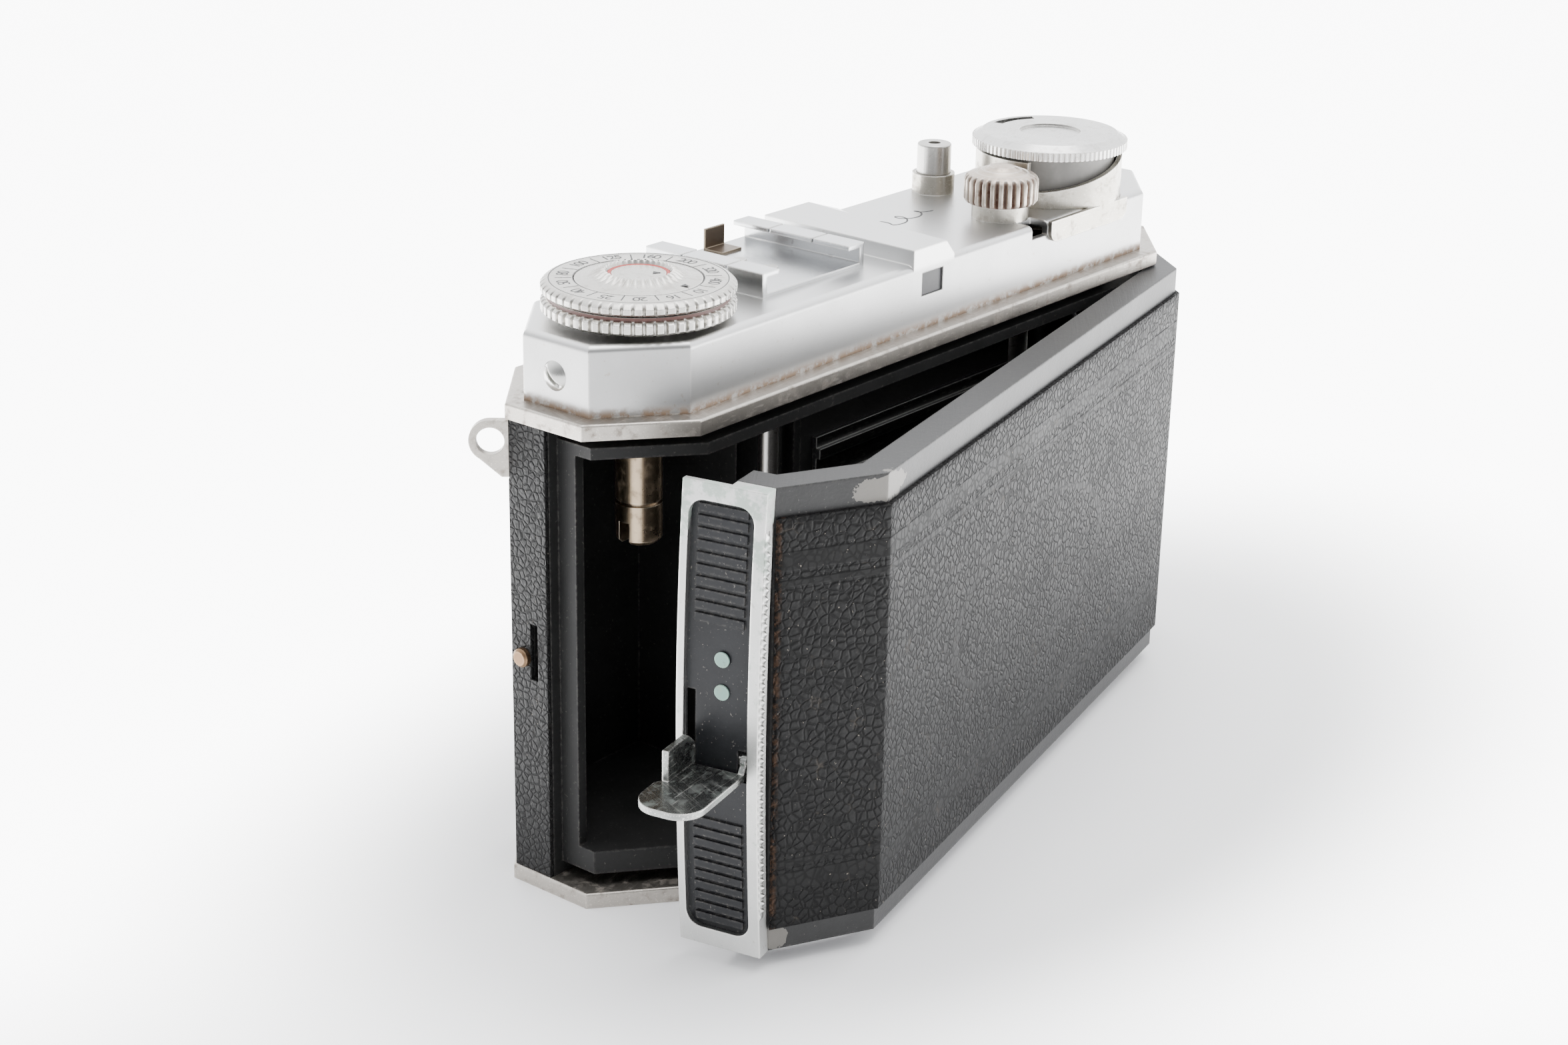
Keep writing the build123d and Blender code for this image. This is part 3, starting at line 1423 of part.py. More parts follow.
with BuildPart() as shutter_housing:
    extrude(
        disc(0, LENS_Z, HOUSING_R, lensward(HOUSING_REAR), TUBE_R),
        amount=HOUSING_REAR - HOUSING_FRONT,
    )
    chamfer(shutter_housing.faces().sort_by(Axis.Y)[0].edges().sort_by(SortBy.RADIUS)[-1], EDGE_FILLET)
hand_in(shutter_housing.part, "shutter_housing")

with BuildPart() as speed_ring:
    extrude(
        disc(0, LENS_Z, SPEED_RING_R, lensward(HOUSING_FRONT - RUN), FOCUS_R + RUN),
        amount=SPEED_RING_T,
    )
hand_in(speed_ring.part, "speed_ring")

with BuildPart() as focus_ring:
    extrude(
        disc(0, LENS_Z, FOCUS_R, lensward(HOUSING_FRONT - RUN), TUBE_R + RUN),
        amount=HOUSING_FRONT - RUN - FOCUS_FRONT,
    )
hand_in(focus_ring.part, "focus_ring")

with BuildPart() as lens_tube:
    extrude(
        disc(0, LENS_Z, TUBE_R, lensward(TUBE_REAR), LENS_R),
        amount=TUBE_REAR - TUBE_FRONT,
    )
hand_in(lens_tube.part, "lens_tube")

for name, glass_rear in (
    ("front_lens", TUBE_FRONT + 2 * GLASS_T),
    ("rear_lens", TUBE_REAR - GLASS_T / 2),
):
    with BuildPart() as glass:
        extrude(disc(0, LENS_Z, LENS_R, lensward(glass_rear)), amount=GLASS_T)
    hand_in(glass.part, name)

with BuildPart() as bellows:
    front_y = HOUSING_REAR + STANDARD_T + EDGE_GAP
    pitch = (BELLOWS_REAR - front_y) / BELLOWS_FOLDS
    for fold in range(BELLOWS_FOLDS):
        deep = front_y + (fold + 1) * pitch
        loft(
            [
                face(
                    box_corners(
                        -BELLOWS_HALF_X + sunk,
                        BELLOWS_HALF_X - sunk,
                        LENS_Z - BELLOWS_HALF_Z + sunk,
                        LENS_Z + BELLOWS_HALF_Z - sunk,
                    ),
                    lensward(y),
                )
                for y, sunk in ((deep, BELLOWS_PLEAT), (deep - pitch / 2, 0))
            ]
        )
        loft(
            [
                face(
                    box_corners(
                        -BELLOWS_HALF_X + sunk,
                        BELLOWS_HALF_X - sunk,
                        LENS_Z - BELLOWS_HALF_Z + sunk,
                        LENS_Z + BELLOWS_HALF_Z - sunk,
                    ),
                    lensward(y),
                )
                for y, sunk in ((deep - pitch / 2, 0), (deep - pitch, BELLOWS_PLEAT))
            ]
        )
    extrude(
        face(
            box_corners(
                BELLOWS_WALL - BELLOWS_HALF_X,
                BELLOWS_HALF_X - BELLOWS_WALL,
                LENS_Z - BELLOWS_HALF_Z + BELLOWS_WALL,
                LENS_Z + BELLOWS_HALF_Z - BELLOWS_WALL,
            ),
            lensward(BELLOWS_REAR),
        ),
        amount=BELLOWS_REAR - front_y,
        mode=Mode.SUBTRACT,
    )
hand_in(bellows.part, "bellows")
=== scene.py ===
"""Looks of a folding 35 mm camera: finishes, fine surface pieces, light and camera.

Metres, +Z up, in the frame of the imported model. The lens side faces -Y, the hinged back
faces +Y, the rewind end is at +X and the winding end at -X.
"""

import logging
import math
from dataclasses import dataclass
from enum import Enum
from typing import Any, Callable, Sequence, Union

import bpy
import numpy as np
from mathutils import Matrix, Vector


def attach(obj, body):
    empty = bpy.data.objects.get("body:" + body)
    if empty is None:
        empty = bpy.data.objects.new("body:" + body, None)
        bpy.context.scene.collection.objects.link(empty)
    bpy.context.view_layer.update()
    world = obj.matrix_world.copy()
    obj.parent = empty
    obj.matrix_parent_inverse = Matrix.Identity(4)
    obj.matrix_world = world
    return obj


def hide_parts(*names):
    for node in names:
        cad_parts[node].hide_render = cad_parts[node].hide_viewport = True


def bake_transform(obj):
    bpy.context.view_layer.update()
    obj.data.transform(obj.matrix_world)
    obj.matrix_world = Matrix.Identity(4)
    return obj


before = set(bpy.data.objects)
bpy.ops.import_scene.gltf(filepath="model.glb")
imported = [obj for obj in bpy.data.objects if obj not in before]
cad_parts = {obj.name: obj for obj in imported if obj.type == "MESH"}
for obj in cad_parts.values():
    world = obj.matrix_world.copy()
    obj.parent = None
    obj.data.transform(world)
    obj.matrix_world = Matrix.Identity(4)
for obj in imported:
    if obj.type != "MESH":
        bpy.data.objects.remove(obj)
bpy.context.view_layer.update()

LOG = logging.getLogger("folding_camera")
MM = 0.001
Colour = tuple[float, float, float]
Place = tuple[float, float, float]
Number = Union[float, "Socket"]
AJAR = math.radians(12.1)
HINGE = (-0.0609, 0.0069, 0.0)
REWIND = (45.6, 1.3)
WIND = (-38.8, 3.2)
TURN = (-22.5, 6.4)
SEAM_HEIGHTS = (63.5, 64.9)
DECK_EDGE = (71.2, 72.0)
DECK_TOP = 72.2
FLUTE_DEPTHS = (4.55, 5.08)
FLUTE_TOP = (77.6, 78.3)


# ---- shader arithmetic ---------------------------------------------------------


class Socket:
    """A number in a material that adds Math nodes as it is used in an expression."""

    def __init__(self, recipe: "Recipe", output: Any) -> None:
        """Wrap one output.

        Args:
            recipe: The material being written.
            output: The node output that carries the number.
        """
        self.recipe = recipe
        self.output = output

    def math(self, operation: str, *others: Number, clamp: bool = False) -> "Socket":
        """Add one Math node.

        Args:
            operation: The Math node's operation.
            *others: The second and third operands.
            clamp: Whether the result is held between 0 and 1.

        Returns:
            The node's result.
        """
        settings = {"operation": operation, "use_clamp": clamp}
        values = {i: v for i, v in enumerate((self, *others))}
        return self.recipe.number("ShaderNodeMath", settings, values)

    def __add__(self, other: Number) -> "Socket":
        """This number plus another."""
        return self.math("ADD", other)

    __radd__ = __add__

    def __sub__(self, other: Number) -> "Socket":
        """This number minus another."""
        return self.math("SUBTRACT", other)

    def __rsub__(self, other: Number) -> "Socket":
        """Another number minus this one."""
        return (self * -1.0) + other

    def __mul__(self, other: Number) -> "Socket":
        """This number times another."""
        return self.math("MULTIPLY", other)

    __rmul__ = __mul__

    def __truediv__(self, other: Number) -> "Socket":
        """This number divided by another."""
        return self.math("DIVIDE", other)

    def __pow__(self, other: Number) -> "Socket":
        """This number raised to a power."""
        return self.math("POWER", other)

    def __abs__(self) -> "Socket":
        """The size of this number."""
        return self.math("ABSOLUTE")

    def over(self, low: float, high: float) -> "Socket":
        """A soft step that is 0 at low and 1 at high.

        Args:
            low: Where the step starts.
            high: Where the step ends.

        Returns:
            A number between 0 and 1.
        """
        settings = {"interpolation_type": "SMOOTHSTEP", "clamp": True}
        values = {"Value": self, "From Min": low, "From Max": high}
        return self.recipe.number("ShaderNodeMapRange", settings, values, "Result")

    def between(self, ends: tuple[float, float]) -> "Socket":
        """This number, from 0 to 1, stretched to run between two ends."""
        return self * (ends[1] - ends[0]) + ends[0]

    def held(self) -> "Socket":
        """This number held between 0 and 1."""
        return self.math("ADD", 0.0, clamp=True)


class Recipe:
    """One material's nodes, written as expressions."""

    def __init__(self, name: str) -> None:
        """Start an empty material.

        Args:
            name: The finish's name.
        """
        self.material = bpy.data.materials.new(name)
        self.material.use_nodes = True
        self.nodes = self.material.node_tree.nodes
        self.links = self.material.node_tree.links
        self.nodes.clear()
        self._place: Any = None
        self._axes: dict[str, Socket] = {}
        self._shut: dict[str, Socket] = {}

    def node(self, kind: str, settings: dict[str, Any], values: dict[Any, Any]) -> Any:
        """Add a node.

        Args:
            kind: The node's type.
            settings: Its properties, set first.
            values: Its inputs by name or index: numbers, colours or links.

        Returns:
            The node.
        """
        made = self.nodes.new(kind)
        for key, value in settings.items():
            setattr(made, key, value)
        for key, value in values.items():
            self.feed(made.inputs[key], value)
        return made

    def feed(self, target: Any, value: Any) -> None:
        """Set or link one input.

        Args:
            target: The input.
            value: A number, colour, wrapped number or node output.
        """
        if isinstance(value, Socket):
            self.links.new(value.output, target)
        elif isinstance(value, bpy.types.NodeSocket):
            self.links.new(value, target)
        elif isinstance(value, tuple) and target.type == "RGBA":
            target.default_value = (*value, 1.0)
        else:
            target.default_value = value

    def number(
        self, kind: str, settings: dict[str, Any], values: dict[Any, Any], out: Any = 0
    ) -> Socket:
        """Add a node and wrap one of its outputs.

        Args:
            kind: The node's type.
            settings: Its properties.
            values: Its inputs.
            out: The output's name or index.

        Returns:
            The wrapped output.
        """
        return Socket(self, self.node(kind, settings, values).outputs[out])

    @property
    def place(self) -> Any:
        """The point on the piece, in metres."""
        if self._place is None:
            self._place = self.node("ShaderNodeTexCoord", {}, {}).outputs["Object"]
        return self._place

    def letters(self, vector: Any) -> dict[str, Socket]:
        """Split a point in metres into its coordinates in millimetres.

        Args:
            vector: A vector output.

        Returns:
            The coordinates by letter.
        """
        parts = self.node("ShaderNodeSeparateXYZ", {}, {0: vector})
        return {k: Socket(self, parts.outputs[k]) * 1000.0 for k in "XYZ"}

    def turned(self, angle: float, centre: Place = (0.0, 0.0, 0.0)) -> Any:
        """The point on the piece, turned about an upright axis.

        Args:
            angle: The turn in radians.
            centre: A point on the axis, in metres.

        Returns:
            A vector output.
        """
        values = {"Vector": self.place, "Center": centre, "Angle": angle}
        return self.node("ShaderNodeVectorRotate", {"rotation_type": "Z_AXIS"}, values).outputs[0]

    def axis(self, letter: str) -> Socket:
        """One coordinate of the point on the piece, in millimetres.

        Args:
            letter: X, Y or Z.

        Returns:
            The coordinate.
        """
        if not self._axes:
            self._axes = self.letters(self.place)
        return self._axes[letter]

    def shut(self, letter: str) -> Socket:
        """One coordinate, in millimetres, as it is when the back is shut.

        Args:
            letter: X, Y or Z.

        Returns:
            The coordinate.
        """
        if not self._shut:
            self._shut = self.letters(self.turned(-AJAR, HINGE))
        return self._shut[letter]

    def spot(self, centre: Sequence[float], reach: Sequence[float], ragged: float = 0.6) -> Socket:
        """A patch with a torn outline: 1 inside an uneven ellipsoid.

        Args:
            centre: Its middle in millimetres.
            reach: Its half sizes in millimetres.
            ragged: How uneven the outline is.

        Returns:
            The mask.
        """
        total: Number = 0.0
        for letter, middle, half in zip("XYZ", centre, reach):
            part = (self.axis(letter) - middle) / half
            total = part * part + total
        torn = (self.noise(1.6, 4.0, 0.65) - 0.5) * (4.0 * ragged)
        return 1 - (total + torn).over(0.85, 1.0)

    def stretched(self, scale: Sequence[float], turn: float = 0.0) -> Any:
        """The point, turned about the vertical and stretched.

        Args:
            scale: Factors along X, Y and Z.
            turn: Angle about Z in degrees, taken off first.

        Returns:
            A vector output.
        """
        values = {0: self.turned(math.radians(-turn)), 1: tuple(scale)}
        return self.node("ShaderNodeVectorMath", {"operation": "MULTIPLY"}, values).outputs[0]

    def noise(
        self, size: float, detail: float = 3.0, rough: float = 0.55, at: Any = None
    ) -> Socket:
        """Cloudy noise between 0 and 1.

        Args:
            size: Rough width of a cloud in millimetres.
            detail: Number of finer layers.
            rough: Strength of the finer layers.
            at: Where it is read, if not at the point itself.

        Returns:
            The noise.
        """
        values = {
            "Vector": at or self.place,
            "Scale": 1000.0 / size,
            "Detail": detail,
            "Roughness": rough,
        }
        return self.number("ShaderNodeTexNoise", {}, values, 0)

    def cells(self, size: float, feature: str = "F1", at: Any = None) -> Socket:
        """Distance pattern of scattered cells.

        Args:
            size: Width of a cell in millimetres.
            feature: The Voronoi feature.
            at: Where it is read.

        Returns:
            The distance, 0 at the middle of a cell.
        """
        settings = {"feature": feature}
        values = {"Vector": at or self.place, "Scale": 1000.0 / size}
        if feature == "SMOOTH_F1":
            values["Smoothness"] = 0.35
        return self.number("ShaderNodeTexVoronoi", settings, values, "Distance")

    def blend(self, factor: Number, low: Any, high: Any) -> Any:
        """Mix two colours.

        Args:
            factor: 0 for low, 1 for high.
            low: A colour or colour output.
            high: A colour or colour output.

        Returns:
            A colour output.
        """
        made = self.node("ShaderNodeMix", {"data_type": "RGBA"}, {})
        self.feed(made.inputs["Factor"], factor)
        self.feed(made.inputs[6], low)
        self.feed(made.inputs[7], high)
        return made.outputs[2]

    def radius(self, x: float, y: float) -> Socket:
        """Distance in millimetres from an upright axis through x and y."""
        dx, dy = self.axis("X") - x, self.axis("Y") - y
        return (dx * dx + dy * dy).math("SQRT")

    def rounded(self, width: float) -> Any:
        """The surface's direction, with sharp edges rounded to a radius in millimetres."""
        return self.node("ShaderNodeBevel", {"samples": 4}, {"Radius": width * MM}).outputs[0]

    def edge(self, width: float, low: float = 0.04, high: float = 0.35) -> Socket:
        """How near the point is to a sharp edge: 1 on it, 0 away from it.

        Args:
            width: Reach of the edge in millimetres.
            low: Change of direction where the mask starts.
            high: Change of direction where it is full.

        Returns:
            The mask.
        """
        soft = self.rounded(width)
        hard = self.node("ShaderNodeNewGeometry", {}, {}).outputs["Normal"]
        dot = self.number(
            "ShaderNodeVectorMath", {"operation": "DOT_PRODUCT"}, {0: soft, 1: hard}, "Value"
        )
        return (1 - dot).over(low * 0.3, high * 0.3)

    def bump(self, height: Socket, depth: float, soften: float = 0.0) -> Any:
        """Turn a height into a surface direction.

        Args:
            height: The height, about 0 to 1.
            depth: What 1 stands for, in millimetres.
            soften: Rounding of sharp edges in millimetres.

        Returns:
            A direction output.
        """
        values: dict[str, Any] = {"Height": height, "Distance": depth * MM, "Strength": 1.0}
        if soften:
            values["Normal"] = self.rounded(soften)
        return self.node("ShaderNodeBump", {}, values).outputs[0]

    def finish(self, constants: dict[str, Any], varying: dict[str, Any]) -> bpy.types.Material:
        """Close the material with its shader.

        Args:
            constants: Values that are the same everywhere.
            varying: Inputs that change over the surface.

        Returns:
            The material.
        """
        shader = self.node("ShaderNodeBsdfPrincipled", {}, {**constants, **varying})
        out = self.nodes.new("ShaderNodeOutputMaterial")
        self.links.new(shader.outputs[0], out.inputs[0])
        return self.material


# ---- finishes ------------------------------------------------------------------


class Grime(Enum):
    """Where dirt gathers on a plated piece."""

    NONE = 0
    SEAM = 1
    OVERALL = 2
    FLUTES = 3


@dataclass(frozen=True)
class Plating:
    """Plated or bare metal with fine grain, painted highlights at the edges, a painted lighter top where a
    deck colour is given, and some dirt.
    """

    name: str
    base: Colour
    # Colour of scratches, and of the painted highlights along sharp edges.
    worn_and_edge_highlight: Colour
    dirt: Colour = (0.10, 0.055, 0.025)
    rough: tuple[float, float] = (0.24, 0.42)
    grain: float = 0.12
    grime: Grime = Grime.NONE
    grime_amount: float = 0.5
    scratch: float = 0.0
    turned: tuple[float, float] | None = None
    soften: float = 0.15
    metallic: float = 1.0
    patina: float = 0.0
    patina_from: float | None = None
    # Lighter colour for the top faces: painted light.
    deck: Colour | None = None
    relief: float = 0.006

    def build(self) -> bpy.types.Material:
        """Write the material: cloudy tint, painted lighter top, speckle, scratches, painted edge highlights
        and dirt.

        Returns:
            The material.
        """
        r = Recipe(self.name)
        cloud = r.noise(9.0, 4.0, 0.6)
        fine = r.noise(0.3, 3.0, 0.7)
        speck = r.noise(0.7, 2.0, 0.6).over(0.66, 0.74)
        edge = r.edge(0.35)
        colour = r.blend(cloud.over(0.35, 0.7), self.base, tuple(c * 0.92 for c in self.base))
        # Painted light: above the deck edge the colour turns to the lighter deck colour, so the top looks lit
        # and the sides shaded.
        if self.deck is not None:
            colour = r.blend(r.axis("Z").over(*DECK_EDGE), colour, self.deck)
        # Painted highlight: near sharp edges the colour turns bright, as if light caught the edges.
        colour = r.blend(edge * 0.7, colour, self.worn_and_edge_highlight)
        colour = r.blend(speck * 0.25, colour, self.dirt)
        rough = cloud.between(self.rough) + (fine - 0.5) * self.grain
        height = fine * 0.5
        metallic = r.noise(2.0).over(-1.0, -0.5) * self.metallic
        if self.scratch:
            along = r.noise(0.22, 2.0, 0.5, r.stretched((0.03, 1.0, 1.0), 8.0)).over(0.6, 0.68)
            cross = r.noise(0.25, 2.0, 0.5, r.stretched((1.0, 0.04, 1.0), -20.0)).over(0.62, 0.7)
            lines = (along + cross * 0.6).held() * self.scratch
            colour = r.blend(lines, colour, self.worn_and_edge_highlight)
            rough = rough + lines * 0.1
            height = height - lines * 0.4
        if self.turned is not None:
            rings = (r.radius(*self.turned) * 9.0).math("SINE")
            height = height + rings * 0.12
            rough = rough + rings * 0.03
        if self.grime is not Grime.NONE:
            spread = r.noise(1.6, 4.0, 0.65)
            if self.grime is Grime.SEAM:
                near = 1 - r.axis("Z").over(*SEAM_HEIGHTS)
                mask = (near * spread.over(0.36, 0.55)).held() * self.grime_amount
            elif self.grime is Grime.FLUTES:
                deep = 1 - r.radius(*TURN).over(*FLUTE_DEPTHS)
                side = 1 - r.axis("Z").over(*FLUTE_TOP)
                mask = (deep * side * 0.9 + spread.over(0.52, 0.72) * 0.45).held() * self.grime_amount
            else:
                mask = spread.over(0.5, 0.72) * self.grime_amount
            colour = r.blend(mask, colour, self.dirt)
            rough = rough + mask * 0.35
            metallic = metallic * (1 - mask * 0.85)
        if self.patina:
            ground = r.noise(2.6, 5.0, 0.7)
            if self.patina_from is not None:
                rise = r.axis("Z").over(self.patina_from, self.patina_from + 18.0)
                ground = ground + rise * 0.16 - 0.07
            bloom = ground.over(0.52, 0.64) * self.patina
            colour = r.blend(bloom, colour, (0.27, 0.38, 0.31))
            rough = rough + bloom * 0.3
            metallic = metallic * (1 - bloom * 0.8)
        return r.finish(
            {"Specular IOR Level": 0.5},
            {
                "Base Color": colour,
                "Roughness": rough.held(),
                "Metallic": metallic.held(),
                "Normal": r.bump(height, self.relief, self.soften),
            },
        )


@dataclass(frozen=True)
class GrainedLeather:
    """Black pebble-grained leather with embossed border bands."""

    name: str
    base: Colour = (0.005, 0.005, 0.005)
    high: Colour = (0.011, 0.011, 0.011)
    cell: float = 0.9
    depth: float = 0.16
    rough: tuple[float, float] = (0.42, 0.6)
    soften: float = 0.3
    gloss: float = 0.24
    bands: bool = False
    band_heights: tuple[tuple[float, float], ...] = ((52.3, 1.35), (49.6, 0.6), (14.0, 0.6), (11.5, 1.35))
    oval_middle: tuple[float, float] = (4.0, 31.5)
    oval_half: tuple[float, float] = (25.0, 11.0)

    def build(self) -> bpy.types.Material:
        """Write the material: rounded cells of two sizes with creases between them.

        Returns:
            The material.
        """
        r = Recipe(self.name)
        warp = r.noise(2.4, 2.0)
        drift = (warp - 0.5) * 0.0005
        shift = r.node("ShaderNodeCombineXYZ", {}, {0: drift, 2: drift}).outputs[0]
        at = r.node("ShaderNodeVectorMath", {"operation": "ADD"}, {0: r.place, 1: shift}).outputs[0]
        pebble = r.cells(self.cell, "DISTANCE_TO_EDGE", at).over(0.0, 0.2)
        small = r.cells(self.cell * 0.55, "SMOOTH_F1", at).over(0.1, 0.8)
        rubbed = r.noise(7.0, 4.0, 0.6)
        height = pebble * 0.7 - small * 0.25 + r.noise(0.5, 2.0) * 0.2
        if self.bands:
            band: Number = 0.0
            groove: Number = 0.0
            for middle, half in self.band_heights:
                off = abs(r.axis("Z") - middle)
                band = (1 - off.over(half * 0.75, half)) + band
                groove = (1 - abs(off - half).over(0.1, 0.32)) + groove
            (x, z), (half_x, half_z) = self.oval_middle, self.oval_half
            oval = ((r.shut("X") - x) / half_x) ** 2.0 + ((r.axis("Z") - z) / half_z) ** 2.0
            ring = 1 - abs(oval - 1.0).over(0.03, 0.10)
            inner = 1 - abs(oval - 0.72).over(0.015, 0.045)
            rear = r.shut("Y").over(15.9, 16.1)
            band = (ring * rear + band).held()
            height = height * (1 - band * 0.85) + band * 0.5 - groove * 0.45 - inner * rear * 0.35
        dust = r.noise(3.0, 5.0, 0.7).over(0.58, 0.75)
        colour = r.blend((pebble * rubbed).over(0.25, 0.75), self.base, self.high)
        colour = r.blend(dust * (1 - pebble) * 0.5, colour, (0.07, 0.06, 0.05))
        fleck = r.noise(0.45, 2.0, 0.6).over(0.7, 0.76)
        colour = r.blend(fleck * 0.5, colour, (0.28, 0.25, 0.21))
        if self.bands:
            seam = (1 - abs(r.shut("Y") - 7.3).over(0.12, 0.55)) * r.shut("X").over(57.5, 59.0)
            rust = r.noise(1.4, 4.0, 0.7).over(0.42, 0.58)
            colour = r.blend((seam * rust).held() * 0.75, colour, (0.075, 0.042, 0.025))
        rough = rubbed.between(self.rough) + (1 - pebble) * 0.12
        return r.finish(
            {"Metallic": 0.0, "Specular IOR Level": self.gloss},
            {
                "Base Color": colour,
                "Roughness": rough.held(),
                "Normal": r.bump(height, self.depth, self.soften),
            },
        )


@dataclass(frozen=True)
class Lacquer:
    """Paint, satin or matt, with chips at the edges and fine dust."""

    name: str
    base: Colour
    metal: Colour = (0.34, 0.32, 0.29)
    rough: tuple[float, float] = (0.35, 0.5)
    chips: float = 0.35
    dust: float = 0.15
    soften: float = 0.15
    brushed: bool = False
    gloss: float = 0.35
    spots: tuple[tuple[Place, Place], ...] = ()

    def build(self) -> bpy.types.Material:
        """Write the material: uneven paint, worn edges and specks of dust.

        Returns:
            The material.
        """
        r = Recipe(self.name)
        cloud = r.noise(6.0, 4.0, 0.6)
        ragged = r.noise(0.8, 4.0, 0.75)
        chip = (r.edge(0.5) * ragged.over(0.42, 0.6)).held() * self.chips
        for at, reach in self.spots:
            patch = (r.spot(at, reach) + (ragged - 0.5) * 0.9).over(0.38, 0.46)
            chip = (patch + chip).held()
        height = ragged - chip * 1.5
        if self.brushed:
            lines = r.noise(0.35, 2.0, 0.6, r.stretched((0.05, 1.0, 1.0), 35.0))
            height = height + lines * 1.6
        speck = r.noise(0.4, 2.0, 0.6).over(0.66, 0.74) * self.dust
        colour = r.blend(cloud.over(0.3, 0.7), self.base, tuple(c * 1.5 for c in self.base))
        colour = r.blend(speck, colour, (0.3, 0.28, 0.25))
        colour = r.blend(chip, colour, self.metal)
        rough = cloud.between(self.rough) + speck * 0.3
        return r.finish(
            {"Specular IOR Level": self.gloss},
            {
                "Base Color": colour,
                "Roughness": rough.held(),
                "Metallic": chip * 0.25,
                "Normal": r.bump(height, 0.02, self.soften),
            },
        )


@dataclass(frozen=True)
class Glass:
    """A small window or lens with a faint coating."""

    name: str
    tint: Colour = (0.55, 0.6, 0.62)
    rough: float = 0.04

    def build(self) -> bpy.types.Material:
        """Write the material: dark glossy glass with light smears.

        Returns:
            The material.
        """
        r = Recipe(self.name)
        smear = r.noise(2.2, 4.0, 0.6).over(0.45, 0.8)
        colour = r.blend(smear, tuple(c * 0.12 for c in self.tint), tuple(c * 0.3 for c in self.tint))
        return r.finish(
            {"Metallic": 0.0, "Specular IOR Level": 0.8, "Coat Roughness": 0.03},
            {"Base Color": colour, "Roughness": smear * 0.12 + self.rough, "Coat Weight": smear * 0.1 + 0.85},
        )


def flat_print(name: str, colour: Colour) -> bpy.types.Material:
    """Engraving filled with paint.

    Args:
        name: The finish's name.
        colour: The paint.

    Returns:
        The material.
    """
    r = Recipe(name)
    wear = r.noise(0.5, 3.0, 0.7)
    tone = r.blend(wear.over(0.45, 0.85), colour, tuple(0.6 * c + 0.04 for c in colour))
    return r.finish({"Metallic": 0.0}, {"Base Color": tone, "Roughness": wear * 0.3 + 0.35})


WARM_CHROME: Colour = (0.46, 0.46, 0.457)
# Scratch colour, also used for the painted edge highlights.
BRIGHT: Colour = (0.88, 0.86, 0.82)


